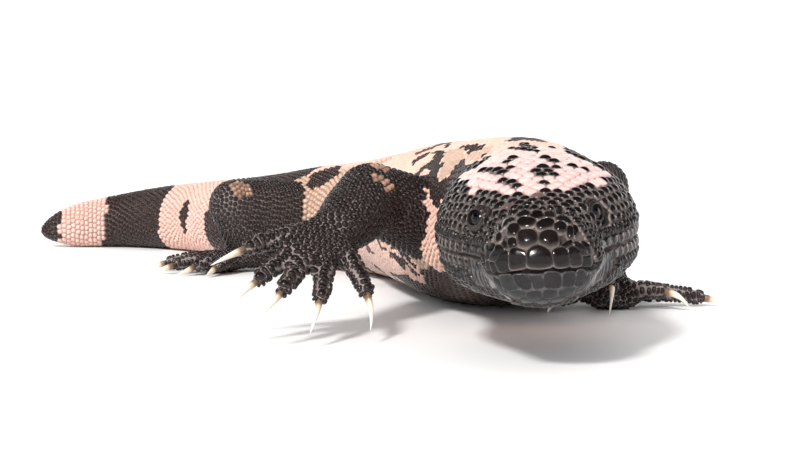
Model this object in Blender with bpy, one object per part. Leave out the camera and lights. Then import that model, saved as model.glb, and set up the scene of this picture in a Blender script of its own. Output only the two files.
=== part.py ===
"""A life-size gila monster, walking with its right forefoot lifted, as a still museum model.

Sizes are in millimetres and MM turns them into metres. X runs to the animal's left, Y towards its tail
and Z up. The origin is on the floor, in the middle of the flat that the belly rests on.
"""

import math

import bmesh
import bpy
import numpy as np

MM = 0.001
GAP = 0.3
WELD = 0.004

# The body: its axis seen from above, snout to tail tip, and the length along it
SPINE_PLAN = (
    (16.0, -196.0),
    (18.6, -146.0),
    (18.0, -110.0),
    (15.0, -70.0),
    (8.0, -22.0),
    (-2.0, 22.0),
    (-22.0, 52.0),
    (-48.0, 74.0),
    (-71.0, 98.0),
    (-94.0, 131.0),
    (-125.0, 152.0),
    (-163.0, 149.0),
)

# Cross sections: distance from the snout, half width, heights of the underside, widest line and back,
# and how square the upper and lower halves are, where 2 is an ellipse
SECTIONS = (
    (0.0, 11.7, 16.4, 24.2, 33.2, 2.4, 2.2),
    (9.0, 12.2, 15.2, 24.2, 35.2, 2.4, 2.2),
    (15.0, 13.6, 14.8, 24.6, 37.2, 2.3, 2.2),
    (20.0, 15.3, 14.4, 25.0, 38.9, 2.2, 2.2),
    (26.0, 18.0, 14.0, 25.6, 41.0, 2.2, 2.2),
    (33.0, 21.0, 13.6, 26.4, 43.2, 2.2, 2.1),
    (41.0, 23.2, 13.2, 27.2, 45.4, 2.2, 2.1),
    (50.0, 24.1, 12.8, 28.0, 47.4, 2.2, 2.1),
    (59.0, 23.4, 12.6, 28.2, 48.7, 2.2, 2.2),
    (70.0, 22.2, 12.2, 28.4, 49.7, 2.3, 2.3),
    (84.0, 22.4, 11.4, 28.0, 50.4, 2.3, 2.3),
    (105.0, 25.2, 7.5, 26.0, 50.8, 2.3, 2.3),
    (130.0, 28.2, 1.0, 23.0, 50.2, 2.2, 2.4),
    (155.0, 30.6, -1.6, 20.5, 49.0, 2.2, 2.4),
    (195.0, 31.6, -1.9, 19.5, 47.2, 2.2, 2.4),
    (230.0, 29.6, -1.7, 19.0, 43.6, 2.2, 2.4),
    (258.0, 25.0, -1.2, 18.0, 39.6, 2.2, 2.3),
    (285.0, 20.6, -1.0, 16.5, 36.4, 2.1, 2.2),
    (305.0, 17.6, -0.9, 15.0, 33.4, 2.1, 2.2),
    (325.0, 16.2, -0.9, 14.2, 31.2, 2.0, 2.2),
    (355.0, 15.2, -0.9, 13.2, 28.8, 2.0, 2.2),
    (385.0, 13.2, -0.8, 11.6, 25.6, 2.0, 2.1),
    (418.0, 10.4, -0.7, 9.2, 19.8, 2.0, 2.1),
    (436.0, 8.6, -0.6, 6.8, 16.2, 2.0, 2.0),
    (458.0, 6.4, -0.5, 3.4, 10.6, 2.0, 2.0),
)
SNOUT_ROUND = 9.0
TAIL_ROUND = 20.0
HEAD_ROLL = math.radians(4.0)
ROLL_AXIS_HEIGHT = 27.0
ROLL_FULL_TO, ROLL_GONE_BY = 50.0, 95.0

# Swellings and hollows of the head, the same on both sides:
# distance from the snout, distance from the middle, height, radius, and how far it stands out
HEAD_FORMS = (
    (6.5, 8.0, 30.5, 3.2, 0.6),
    (10.0, 12.5, 26.5, 4.5, 0.7),
    (20.0, 15.5, 29.5, 5.0, -0.8),
    (22.5, 14.0, 38.0, 4.5, 1.0),
    (31.0, 20.0, 31.5, 5.0, 0.6),
    (44.0, 22.5, 35.0, 10.0, 0.6),
    (44.0, 21.0, 18.0, 8.0, 0.5),
    (62.0, 23.0, 31.0, 5.0, -0.8),
)

# Where the body is parted
HEAD_END = 60.0
NECK_END = 92.0
VENT = 300.0

# The mouth: its line from the snout to the corner as (distance, height), and how far it is open
MOUTH_LINE = (
    (-6.0, 23.9),
    (7.0, 23.8),
    (12.0, 24.4),
    (18.0, 25.7),
    (30.0, 26.4),
    (41.0, 27.0),
    (51.0, 28.0),
)
MOUTH_OPEN_FRONT, MOUTH_OPEN_CORNER = 1.1, 0.3
JAW_HINGE = ((55.0, 19.0), (57.0, 5.0))
HEAD_REACH = 34.0

# Eyes, lids and ears, on both sides of the head:
# distance from the snout, distance from the middle, height
EYE = (24.8, 12.4, 34.2)
EYE_RADIUS = 2.9
EYE_LOOK = (0.76, -0.46, 0.46)
LID_RING, LID_THICK, LID_STAND = 3.0, 0.9, 1.5
LID_OVAL = (0.94, 0.86)
LID_TURNS, LID_SIDES = 16, 6
# Nostrils, seen from the front: distance from the middle, height
NOSTRIL = (6.1, 30.3)
NOSTRIL_SIZE = (1.1, 1.2, 1.0)
EAR = (56.5, 24.6, 30.0)
EAR_SIZE = (1.5, 1.7, 3.4)

# Plates of the snout and the front of the chin, seen from the front: distance from the middle, height,
# half width, half height. Those off the middle have a twin on the other side.
SNOUT_PLATES = (
    (0.0, 27.0, 2.7, 2.2),
    (2.5, 30.7, 2.2, 2.1),
    (4.9, 26.8, 1.8, 2.1),
    (8.3, 26.6, 1.4, 2.1),
    (5.3, 33.0, 1.6, 1.4),
    (2.1, 34.2, 2.0, 1.5),
    (6.4, 35.4, 1.7, 1.3),
    (8.7, 31.4, 1.2, 1.8),
    (10.2, 29.0, 1.5, 1.8),
    (0.0, 21.3, 2.4, 1.6),
    (4.6, 21.5, 1.7, 1.6),
)
UPPER_LIP_PLATES = (6.2, 9.4, 13.0, 17.4, 22.2, 27.2, 32.2, 37.2, 42.2, 47.0)
LOWER_LIP_PLATES = (4.4, 8.0, 12.0, 16.6, 21.6, 26.8, 32.0, 37.2, 42.4)
LIP_PLATE_RISE, LIP_PLATE_HALF_HEIGHT = 2.4, 1.8
PLATE_STAND, PLATE_ROOT, PLATE_TOP = 0.7, 1.2, 0.66
PLATE_SIDES = 6

# Beads of the crown and cheeks: rows along the head, and the space from bead to bead
CROWN_ROWS = (16.0, 56.0)
CROWN_PITCH = 5.1
CROWN_BEAD = 2.2
CLEAR_OF_EYE, CLEAR_OF_EAR, CLEAR_OF_MOUTH = 5.4, 4.6, 5.6

# Legs: the joints, then the radius at the root, the middle and the end of both lengths
LEGS = {
    "fore_right": {
        "joints": ((-3.0, -70.0, 25.0), (-23.0, -93.5, 34.0), (-31.5, -116.0, 26.6)),
        "upper": (12.5, 11.0, 9.9),
        "lower": (9.9, 9.0, 7.2),
    },
    "fore_left": {
        "joints": ((31.0, -74.0, 26.0), (46.2, -45.0, 34.4), (45.5, -52.0, 8.0)),
        "upper": (12.0, 9.6, 8.0),
        "lower": (8.0, 8.2, 6.4),
    },
    "hind_right": {
        "joints": ((-46.0, 62.0, 18.0), (-73.0, 40.0, 24.0), (-67.0, 49.0, 7.0)),
        "upper": (13.0, 11.6, 8.8),
        "lower": (8.8, 8.4, 6.2),
    },
    "hind_left": {
        "joints": ((-34.0, 78.0, 18.0), (-1.0, 96.0, 23.0), (8.0, 116.0, 7.0)),
        "upper": (13.0, 11.6, 8.8),
        "lower": (8.8, 8.4, 6.2),
    },
}

# Feet: the middle of the knuckles, the palm's normal, and for each toe, inner to outer,
# its knuckle, its end and the tip of its claw
FEET = {
    "fore_right": {
        "knuckles": (-36.0, -126.0, 23.5),
        "back_of_foot": (0.26, -0.63, 0.73),
        "toes": (
            ((-27.8, -123.0, 23.2), (-23.0, -135.5, 11.0), (-22.4, -139.0, 3.4)),
            ((-32.4, -126.5, 22.4), (-35.1, -142.5, 10.4), (-37.0, -147.6, 3.8)),
            ((-36.8, -127.0, 23.2), (-44.8, -145.0, 12.9), (-48.6, -150.5, 8.8)),
            ((-40.4, -125.0, 25.2), (-51.4, -140.0, 15.3), (-55.4, -144.6, 11.6)),
            ((-41.6, -121.5, 28.4), (-55.2, -132.5, 22.8), (-62.6, -136.0, 19.4)),
        ),
    },
    "fore_left": {
        "knuckles": (47.0, -63.0, 3.4),
        "back_of_foot": (0.0, 0.0, 1.0),
        "toes": (
            ((41.5, -63.0, 2.8), (29.8, -74.0, 3.2), (26.8, -78.6, 0.4)),
            ((44.5, -67.0, 3.0), (44.8, -80.5, 7.6), (43.6, -85.0, 0.4)),
            ((51.0, -66.0, 2.6), (62.4, -70.5, 5.4), (69.0, -68.0, 0.4)),
            ((54.0, -61.5, 2.4), (75.5, -58.5, 2.3), (82.0, -57.0, 0.4)),
            ((53.0, -55.5, 2.6), (66.0, -44.5, 2.4), (73.0, -38.0, 0.4)),
        ),
    },
    "hind_right": {
        "knuckles": (-78.0, 45.0, 3.5),
        "back_of_foot": (0.0, 0.0, 1.0),
        "toes": (
            ((-73.0, 40.0, 3.4), (-79.0, 28.5, 2.5), (-81.0, 21.0, 0.5)),
            ((-78.0, 39.0, 3.6), (-87.0, 31.0, 2.5), (-92.5, 25.5, 0.5)),
            ((-82.0, 41.5, 3.8), (-95.0, 37.0, 2.6), (-102.5, 34.5, 0.5)),
            ((-83.0, 45.5, 3.6), (-99.0, 49.0, 2.5), (-107.0, 49.5, 0.5)),
            ((-79.0, 50.0, 3.4), (-90.0, 61.0, 2.5), (-95.5, 67.0, 0.5)),
        ),
    },
    "hind_left": {
        "knuckles": (18.5, 114.0, 3.5),
        "back_of_foot": (0.0, 0.0, 1.0),
        "toes": (
            ((15.0, 109.0, 3.4), (18.0, 97.0, 2.5), (19.5, 89.5, 0.5)),
            ((20.0, 108.5, 3.6), (29.0, 99.0, 2.5), (34.0, 93.5, 0.5)),
            ((23.5, 111.5, 3.8), (37.0, 107.0, 2.6), (44.5, 105.0, 0.5)),
            ((24.0, 116.0, 3.6), (40.0, 118.5, 2.5), (48.0, 119.0, 0.5)),
            ((20.0, 120.0, 3.4), (30.0, 130.0, 2.5), (36.0, 135.5, 0.5)),
        ),
    },
}
PALM_WRIST = (6.6, 5.4)
PALM_KNUCKLES = (9.6, 3.9)
PALM_END = (6.0, 2.4)
PALM_NOSE, WRIST_LAP = 6.0, 4.0
TOE_RADII = (3.1, 2.9, 2.5)
TOE_ARCH = 1.0
TOE_ROOT = 0.45
CLAW_RADIUS = 1.45
CLAW_DROOP = 0.45
CLAW_FLATNESS = 0.8

# Fineness of the facets
HEAD_SIDES, NECK_SIDES, TRUNK_SIDES, TAIL_SIDES = 32, 26, 26, 20
HEAD_STEP, NECK_STEP, TRUNK_STEP, TAIL_STEP = 3.4, 6.5, 9.5, 9.0
LEG_SIDES, TOE_SIDES, CLAW_SIDES = 14, 9, 6

# Colours of the living animal, linear RGB
BLACK_SKIN = (0.022, 0.019, 0.018, 1.0)
PINK_SKIN = (0.78, 0.47, 0.37, 1.0)
CLAW_HORN = (0.78, 0.66, 0.46, 1.0)
EYE_DARK = (0.008, 0.009, 0.014, 1.0)


def smooth_value(knots, values, at):
    """A smooth curve through the knots that never swings past their values."""
    knots, values, at = (np.asarray(a, float) for a in (knots, values, at))
    steps = np.diff(knots)
    slopes = np.diff(values) / steps
    tangents = np.zeros(len(knots))
    rising = slopes[:-1] * slopes[1:] > 0
    harmonic = 2 * slopes[:-1] * slopes[1:] / np.where(rising, slopes[:-1] + slopes[1:], 1)
    tangents[1:-1] = np.where(rising, harmonic, 0)
    tangents[0], tangents[-1] = slopes[0], slopes[-1]
    k = np.clip(np.searchsorted(knots, at, side="right") - 1, 0, len(steps) - 1)
    t = np.clip((at - knots[k]) / steps[k], 0, 1)
    bend = t * t * (3 - 2 * t)
    start = t * (1 - t) ** 2 * tangents[k] * steps[k]
    end = t * t * (t - 1) * tangents[k + 1] * steps[k]
    return values[k] * (1 - bend) + values[k + 1] * bend + start + end


def spine_curve(samples=2001):
    """The spine's plan as a smooth line: points, and their distance along it."""
    plan = np.array(SPINE_PLAN)
    chords = np.concatenate([[0], np.cumsum(np.linalg.norm(np.diff(plan, axis=0), axis=1))])
    tangents = np.gradient(plan, chords, axis=0)
    at = np.linspace(0, chords[-1], samples)
    k = np.clip(np.searchsorted(chords, at, side="right") - 1, 0, len(plan) - 2)
    step = (chords[k + 1] - chords[k])[:, None]
    t = ((at - chords[k]) / (chords[k + 1] - chords[k]))[:, None]
    line = (
        plan[k] * (2 * t**3 - 3 * t**2 + 1)
        + plan[k + 1] * (3 * t**2 - 2 * t**3)
        + tangents[k] * step * (t**3 - 2 * t**2 + t)
        + tangents[k + 1] * step * (t**3 - t**2)
    )
    along = np.concatenate([[0], np.cumsum(np.linalg.norm(np.diff(line, axis=0), axis=1))])
    return line, along


SPINE, SPINE_ALONG = spine_curve()
LENGTH = SPINE_ALONG[-1]


def spine_at(s):
    """Plan position on the spine and the unit direction towards the tail, at distance s."""
    place = np.stack([np.interp(s, SPINE_ALONG, SPINE[:, k]) for k in (0, 1)], axis=-1)
    reach = 3.0
    ahead = np.stack([np.interp(s + reach, SPINE_ALONG, SPINE[:, k]) for k in (0, 1)], axis=-1)
    behind = np.stack([np.interp(s - reach, SPINE_ALONG, SPINE[:, k]) for k in (0, 1)], axis=-1)
    run = ahead - behind
    return place, run / np.linalg.norm(run, axis=-1, keepdims=True)


def roundness(s):
    """How much of the section is left at the rounded snout and tail tip."""
    snout = np.clip(1 - s / SNOUT_ROUND, 0, 1)
    tail = np.clip(1 - (LENGTH - s) / TAIL_ROUND, 0, 1)
    return np.sqrt((1 - snout**2) * (1 - tail**2))


def head_roll(s):
    """The head's tilt about its own axis, which the neck takes up."""
    t = np.clip((ROLL_GONE_BY - s) / (ROLL_GONE_BY - ROLL_FULL_TO), 0, 1)
    return HEAD_ROLL * t * t * (3 - 2 * t)


def place_on_body(s, x, z):
    """World points of a place beside the spine: s along it, x to the left and z up, before the roll."""
    place, run = spine_at(s)
    roll = head_roll(s)
    side = x * np.cos(roll) - (z - ROLL_AXIS_HEIGHT) * np.sin(roll)
    up = x * np.sin(roll) + (z - ROLL_AXIS_HEIGHT) * np.cos(roll) + ROLL_AXIS_HEIGHT
    left = np.stack([run[..., 1], -run[..., 0]], axis=-1)
    plan = place + left * side[..., None]
    return np.concatenate([plan, up[..., None]], axis=-1)


def section_at(s):
    """Half width, underside, widest line, back and both squarenesses at distance s."""
    table = np.array(SECTIONS)
    return [smooth_value(table[:, 0], table[:, k], s) for k in range(1, 7)]


def section_point(s, angle, grow=0.0):
    """Where the surface is in its own section: x to the left and z up, before the roll."""
    half, low, waist, high, square_up, square_down = section_at(s)
    cosine, sine = np.cos(angle), np.sin(angle)
    height = np.where(sine >= 0, high - waist, waist - low)
    power = np.where(sine >= 0, square_up, square_down)
    reach = ((np.abs(cosine) / half) ** power + (np.abs(sine) / height) ** power) ** (-1 / power)
    reach = reach * roundness(s)
    x, z = reach * cosine, waist + reach * sine
    for form_s, form_x, form_z, radius, stand in HEAD_FORMS:
        away = (s - form_s) ** 2 + (np.abs(x) - form_x) ** 2 + (z - form_z) ** 2
        push = stand * np.exp(-away / radius**2)
        x, z = x + push * cosine, z + push * sine
    return x + grow * cosine, z + grow * sine


def body_surface(s, angle, grow=0.0):
    """Points of the body's surface. The angle runs from the left flank over the back."""
    s, angle = np.broadcast_arrays(np.asarray(s, float), np.asarray(angle, float))
    points = place_on_body(s, *section_point(s, angle, grow))
    points[..., 2] = np.maximum(points[..., 2], 0.0)
    return points


def surface_normal(s, angle):
    """The surface's outward normal, from two short steps on it."""
    along = body_surface(s + 0.4, angle) - body_surface(s - 0.4, angle)
    around = body_surface(s, angle + 0.02) - body_surface(s, angle - 0.02)
    return unit(np.cross(around, along))


def angle_at_height(s, height, side):
    """The angle at which the section at s reaches a height on one side, before the roll."""
    angles = np.radians(np.linspace(-80, 80, 161))
    heights = section_point(np.full(161, s), angles)[1]
    angle = float(np.interp(height, heights, angles))
    return angle if side > 0 else math.pi - angle


def place_seen_from_front(x, z):
    """Distance from the snout and angle of the surface point that shows at x and z from the front."""
    stations = np.linspace(0.05, 30.0, 300)
    waist = section_at(stations)[2]
    angles = np.arctan2(z - waist, x)
    surface_x, surface_z = section_point(stations, angles)
    beyond = np.hypot(surface_x, surface_z - waist) - np.hypot(x, z - waist)
    first = int(np.argmax(beyond > 0))
    return float(stations[first]), float(angles[first])


def new_material(name, colour, roughness):
    material = bpy.data.materials.new(name)
    material.use_nodes = True
    shader = material.node_tree.nodes["Principled BSDF"]
    shader.inputs["Base Color"].default_value = colour
    shader.inputs["Roughness"].default_value = roughness
    shader.inputs["Metallic"].default_value = 0.0
    return material


def new_object(name, points, faces, material):
    """An object from points in millimetres, its faces turned outwards."""
    mesh = bpy.data.meshes.new(name)
    mesh.from_pydata([tuple(float(c) * MM for c in p) for p in points], [], faces)
    work = bmesh.new()
    work.from_mesh(mesh)
    bmesh.ops.remove_doubles(work, verts=work.verts, dist=0.02 * MM)
    bmesh.ops.recalc_face_normals(work, faces=work.faces)
    work.to_mesh(mesh)
    work.free()
    mesh.materials.append(material)
    thing = bpy.data.objects.new(name, mesh)
    bpy.context.scene.collection.objects.link(thing)
    return thing


def loft(name, rings, material, start_point=None, end_point=None):
    """A closed skin over rings of equally many points. An end is a flat cap, or closes on a point."""
    rings = [np.asarray(ring) for ring in rings]
    sides = len(rings[0])
    points = [p for ring in rings for p in ring]
    faces = []
    for r in range(len(rings) - 1):
        for k in range(sides):
            n = (k + 1) % sides
            faces.append((r * sides + k, r * sides + n, (r + 1) * sides + n, (r + 1) * sides + k))
    for first, tip in ((0, start_point), ((len(rings) - 1) * sides, end_point)):
        if tip is None:
            faces.append(tuple(range(first, first + sides)))
            continue
        points.append(tip)
        pole = len(points) - 1
        faces += [(first + k, first + (k + 1) % sides, pole) for k in range(sides)]
    return new_object(name, points, faces, material)


def body_rings(start, end, step, sides, grow=0.0):
    count = max(2, round((end - start) / step) + 1)
    angles = np.linspace(0, 2 * math.pi, sides, endpoint=False)
    return [body_surface(s, angles, grow) for s in np.linspace(start, end, count)]


def snout_rings(sides):
    """Rings of the snout's round front, closer together towards the tip."""
    turns = np.radians((24, 42, 60, 76))
    angles = np.linspace(0, 2 * math.pi, sides, endpoint=False)
    return [body_surface(SNOUT_ROUND * (1 - math.cos(t)), angles) for t in turns]


def tail_tip_rings(sides):
    turns = np.radians((74, 56, 38, 20))
    angles = np.linspace(0, 2 * math.pi, sides, endpoint=False)
    return [body_surface(LENGTH - TAIL_ROUND * (1 - math.cos(t)), angles) for t in turns]


def head_loft(name, material):
    rings = snout_rings(HEAD_SIDES)
    rings += body_rings(SNOUT_ROUND, HEAD_END - GAP / 2, HEAD_STEP, HEAD_SIDES)
    return loft(name, rings, material, start_point=body_surface(0.0, 0.0))


def evaluated_copy(thing):
    """Replaces the object's mesh by the one that its modifiers make, and removes them."""
    graph = bpy.context.evaluated_depsgraph_get()
    mesh = bpy.data.meshes.new_from_object(thing.evaluated_get(graph))
    thing.modifiers.clear()
    thing.data = mesh
    return thing


def boolean(thing, others, operation):
    """Joins or cuts the object with closed mesh objects, which are then removed."""
    pieces = bpy.data.collections.new(thing.name + "_pieces")
    for other in others:
        pieces.objects.link(other)
    modifier = thing.modifiers.new(operation.title(), "BOOLEAN")
    modifier.operation = operation
    modifier.solver = "EXACT"
    modifier.operand_type = "COLLECTION"
    modifier.collection = pieces
    evaluated_copy(thing)
    bpy.data.collections.remove(pieces)
    for other in others:
        bpy.data.objects.remove(other, do_unlink=True)
    return largest_surface(thing)


def largest_surface(thing):
    """Keeps only the object's largest connected surface, welded and turned outwards."""
    work = bmesh.new()
    work.from_mesh(thing.data)
    bmesh.ops.remove_doubles(work, verts=work.verts, dist=WELD * MM)
    bmesh.ops.dissolve_degenerate(work, edges=work.edges, dist=WELD * MM)
    left = set(work.faces)
    largest = set()
    while left:
        island, edge_of = set(), [left.pop()]
        while edge_of:
            face = edge_of.pop()
            island.add(face)
            pairs = (edge.link_faces for edge in face.edges if len(edge.link_faces) == 2)
            near = {other for pair in pairs for other in pair} & left
            left -= near
            edge_of.extend(near)
        if len(island) > len(largest):
            largest = island
    bmesh.ops.delete(work, geom=[f for f in work.faces if f not in largest], context="FACES")
    bmesh.ops.recalc_face_normals(work, faces=work.faces)
    work.to_mesh(thing.data)
    work.free()
    return thing


def cut_off(thing, point, normal):
    """Removes what lies beyond a plane, on the normal's side, and closes the cut flat."""
    work = bmesh.new()
    work.from_mesh(thing.data)
    geometry = work.verts[:] + work.edges[:] + work.faces[:]
    place = [float(c) * MM for c in point]
    cut = bmesh.ops.bisect_plane(
        work, geom=geometry, plane_co=place, plane_no=[float(c) for c in normal], clear_outer=True
    )
    edges = [e for e in cut["geom_cut"] if isinstance(e, bmesh.types.BMEdge)]
    bmesh.ops.holes_fill(work, edges=edges, sides=0)
    bmesh.ops.recalc_face_normals(work, faces=work.faces)
    work.to_mesh(thing.data)
    work.free()
    return thing


def shade(thing, angle=40):
    thing.data.shade_smooth()
    thing.data.set_sharp_from_angle(angle=math.radians(angle))


def unit(vector):
    vector = np.asarray(vector, float)
    return vector / np.linalg.norm(vector)


def oval_ring(centre, across, over, half_wide, half_high, sides):
    angles = np.linspace(0, 2 * math.pi, sides, endpoint=False)
    ring = np.outer(np.cos(angles) * half_wide, across) + np.outer(np.sin(angles) * half_high, over)
    return centre + ring


def tube_rings(path, widths, heights, up, sides):
    """Oval rings along a path, each square to it, the width across and the height along up."""
    path = np.asarray(path, float)
    runs = np.gradient(path, axis=0)
    rings = []
    for place, run, wide, high in zip(path, runs, widths, heights, strict=True):
        across = unit(np.cross(unit(run), up))
        over = np.cross(across, unit(run))
        rings.append(oval_ring(place, across, over, wide, high, sides))
    return rings


def any_square_to(direction):
    """An up vector that isn't along the direction."""
    level = abs(unit(direction)[2]) < 0.85
    return np.array((0.0, 0.0, 1.0) if level else (0.0, 1.0, 0.0))


def rounded_limb(name, start, end, radii, material):
    """A straight tapering length with a round end at both joints."""
    start, end = np.array(start), np.array(end)
    length = np.linalg.norm(end - start)
    run = (end - start) / length
    knots = (0.0, length / 2, length)
    stations, sizes = [], []
    for turn in np.radians((25, 50, 72)):
        stations.append(-radii[0] * math.cos(turn))
        sizes.append(radii[0] * math.sin(turn))
    for place in np.linspace(0, length, 6):
        stations.append(place)
        sizes.append(float(smooth_value(knots, radii, place)))
    for turn in np.radians((72, 50, 25)):
        stations.append(length + radii[2] * math.cos(turn))
        sizes.append(radii[2] * math.sin(turn))
    path = [start + run * place for place in stations]
    rings = tube_rings(path, sizes, sizes, any_square_to(run), LEG_SIDES)
    return loft(name, rings, material, start - run * radii[0], end + run * radii[2])


def joint_plane(before, joint, after):
    """The normal, towards the outer length, of the plane that halves the angle at a joint."""
    before, joint, after = (np.array(p, float) for p in (before, joint, after))
    return unit(unit(after - joint) - unit(before - joint))


def part_at_joint(inner, outer, before, joint, after):
    """Cuts two lengths flat at the joint between them, a gap apart."""
    normal = joint_plane(before, joint, after)
    cut_off(inner, np.array(joint) - normal * GAP / 2, normal)
    cut_off(outer, np.array(joint) + normal * GAP / 2, -normal)


def arched_path(start, end, arch, up, count):
    """A path from start to end that rises by arch in its middle."""
    t = np.linspace(0, 1, count)[:, None]
    start, end = np.array(start), np.array(end)
    return start * (1 - t) + end * t + np.array(up) * arch * 4 * t * (1 - t)


def toe_path(knuckle, end, palm_middle, up):
    """The toe's line from its root, deep in the palm, to its end, and the direction it ends in."""
    root = np.array(knuckle) * (1 - TOE_ROOT) + np.array(palm_middle) * TOE_ROOT
    path = arched_path(root, end, TOE_ARCH, up, 8)
    return path, unit(path[-1] - path[-2])


def toe(name, knuckle, end, palm_middle, up, material):
    """A toe rooted in the palm, with a flat end for the claw."""
    path, _ = toe_path(knuckle, end, palm_middle, up)
    sizes = smooth_value((0.0, 0.5, 1.0), TOE_RADII, np.linspace(0, 1, len(path)))
    return loft(name, tube_rings(path, sizes, sizes, up, TOE_SIDES), material)


def foot(name, leg, plan, material):
    """Palm and five toes as one solid, cut level where it would pass below the floor."""
    wrist = np.array(leg["joints"][2])
    knuckles = np.array(plan["knuckles"])
    up = np.array(plan["back_of_foot"])
    run = unit(knuckles - wrist)
    length = np.linalg.norm(knuckles - wrist)
    ends = (0, length, length + PALM_NOSE)
    stations = (-WRIST_LAP, 0.0, length * 0.5, length, length + PALM_NOSE * 0.6, length + PALM_NOSE)
    widths = np.interp(stations, ends, (PALM_WRIST[0], PALM_KNUCKLES[0], PALM_END[0]))
    heights = np.interp(stations, ends, (PALM_WRIST[1], PALM_KNUCKLES[1], PALM_END[1]))
    path = [wrist + run * place for place in stations]
    palm = loft(name, tube_rings(path, widths, heights, up, LEG_SIDES), material)
    middle = (wrist + knuckles) / 2
    toes = [
        toe(f"{name}_toe_{n}", knuckle, end, middle, up, material)
        for n, (knuckle, end, _) in enumerate(plan["toes"])
    ]
    return boolean(palm, toes, "UNION")


def claw(name, knuckle, end, tip, palm_middle, up, material):
    """A horn claw that leaves the toe's flat end and droops to its point."""
    _, direction = toe_path(knuckle, end, palm_middle, up)
    root = np.array(end) + direction * GAP
    tip = np.array(tip)
    bend = root + direction * np.linalg.norm(tip - root) * CLAW_DROOP
    t = np.linspace(0, 1, 6)[:-1, None]
    path = root * (1 - t) ** 2 + 2 * bend * t * (1 - t) + tip * t**2
    sizes = CLAW_RADIUS * (1 - t[:, 0]) ** 0.75
    rings = tube_rings(path, sizes * CLAW_FLATNESS, sizes, up, CLAW_SIDES)
    across = unit(np.cross(direction, up))
    over = np.cross(across, direction)
    rings[0] = oval_ring(root, across, over, sizes[0] * CLAW_FLATNESS, sizes[0], CLAW_SIDES)
    return loft(name, rings, material, end_point=tip)


def ball(name, centre, sizes, material, rings=7, sides=14):
    """An ellipsoid, its sizes being the half lengths along X, Y and Z."""
    centre = np.array(centre)
    wide, deep, high = sizes
    across, over, axis = np.eye(3)
    turns = np.linspace(0, math.pi, rings + 2)[1:-1]
    loops = [
        oval_ring(
            centre + axis * high * math.cos(t), across, over, wide * math.sin(t), deep * math.sin(t), sides
        )
        for t in turns
    ]
    return loft(name, loops, material, centre + axis * high, centre - axis * high)


def lid_ring(name, centre, look, material):
    """The lids, as one ring round the eye, facing the way it looks."""
    look = unit(look)
    across = unit(np.cross(look, (0, 0, 1.0)))
    over = np.cross(across, look)
    points, faces = [], []
    for turn in np.linspace(0, 2 * math.pi, LID_TURNS, endpoint=False):
        out = across * math.cos(turn) * LID_OVAL[0] + over * math.sin(turn) * LID_OVAL[1]
        for side in np.linspace(0, 2 * math.pi, LID_SIDES, endpoint=False):
            place = np.array(centre) + look * (LID_STAND + math.sin(side) * LID_THICK)
            points.append(place + out * (LID_RING + math.cos(side) * LID_THICK))
    for a in range(LID_TURNS):
        for b in range(LID_SIDES):
            n, m = (a + 1) % LID_TURNS * LID_SIDES, (b + 1) % LID_SIDES
            faces.append((a * LID_SIDES + b, n + b, n + m, a * LID_SIDES + m))
    return new_object(name, points, faces, material)


def plate(name, s, angle, half_along, half_around, material, stand=PLATE_STAND):
    """A low raised plate on the head, with its root sunk in it."""
    centre = body_surface(s, angle)
    normal = surface_normal(s, angle)
    around = unit(body_surface(s, angle + 0.02) - body_surface(s, angle - 0.02))
    along = np.cross(normal, around)
    turns = np.linspace(0, 2 * math.pi, PLATE_SIDES, endpoint=False)
    rim = np.outer(np.cos(turns) * half_around, around) + np.outer(np.sin(turns) * half_along, along)
    rings = [centre - normal * PLATE_ROOT + rim, centre + normal * stand * 0.35 + rim]
    rings.append(centre + normal * stand * 0.9 + rim * PLATE_TOP)
    return loft(name, rings, material, end_point=centre + normal * stand)


def mouth_height(s):
    line = np.array(MOUTH_LINE)
    return float(np.interp(s, line[:, 0], line[:, 1]))


def snout_plates(material):
    plates = []
    for x, z, half_wide, half_high in SNOUT_PLATES:
        for side in (1, -1) if x else (1,):
            s, angle = place_seen_from_front(x * side, z)
            plates.append(plate("snout_plate", s, angle, half_high, half_wide, material))
    return plates


def lip_plates(stations, rise, material):
    """A row of plates along one lip, each as wide as its share of the row."""
    plates = []
    shares = np.gradient(np.array(stations)) * 0.43
    for s, share in zip(stations, shares, strict=True):
        for side in (1, -1):
            angle = angle_at_height(s, mouth_height(s) + rise, side)
            half_long = min(max(share, 1.5), 2.3)
            plates.append(plate("lip_plate", s, angle, half_long, LIP_PLATE_HALF_HEIGHT, material))
    return plates


def crown_beads(material, random):
    """Rows of beads over the crown and cheeks, clear of eyes, ears and lips."""
    eyes = [place for _, _, place in both_sides(EYE)]
    ears = [place for _, _, place in both_sides(EAR)]
    beads = []
    stations = np.arange(CROWN_ROWS[0], CROWN_ROWS[1], CROWN_PITCH * 0.87)
    for row, s in enumerate(stations):
        angles = np.radians(np.linspace(-25, 205, 400))
        line = body_surface(np.full(400, s), angles)
        run = np.concatenate([[0], np.cumsum(np.linalg.norm(np.diff(line, axis=0), axis=1))])
        middle = run[-1] / 2 + (row % 2) * CROWN_PITCH / 2
        count = int(run[-1] / 2 / CROWN_PITCH)
        for place in middle + CROWN_PITCH * np.arange(-count, count + 1):
            angle = float(np.interp(place, run, angles))
            point = body_surface(s, angle)
            _, z = section_point(np.array(s), np.array(angle))
            clear = min(np.linalg.norm(point - eye) for eye in eyes) > CLEAR_OF_EYE
            clear &= min(np.linalg.norm(point - ear) for ear in ears) > CLEAR_OF_EAR
            clear &= z > mouth_height(s) + CLEAR_OF_MOUTH
            if clear:
                size = CROWN_BEAD * random.uniform(0.9, 1.08)
                beads.append(plate("crown_bead", s, angle, size, size, material, PLATE_STAND * 1.2))
    return beads


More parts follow.
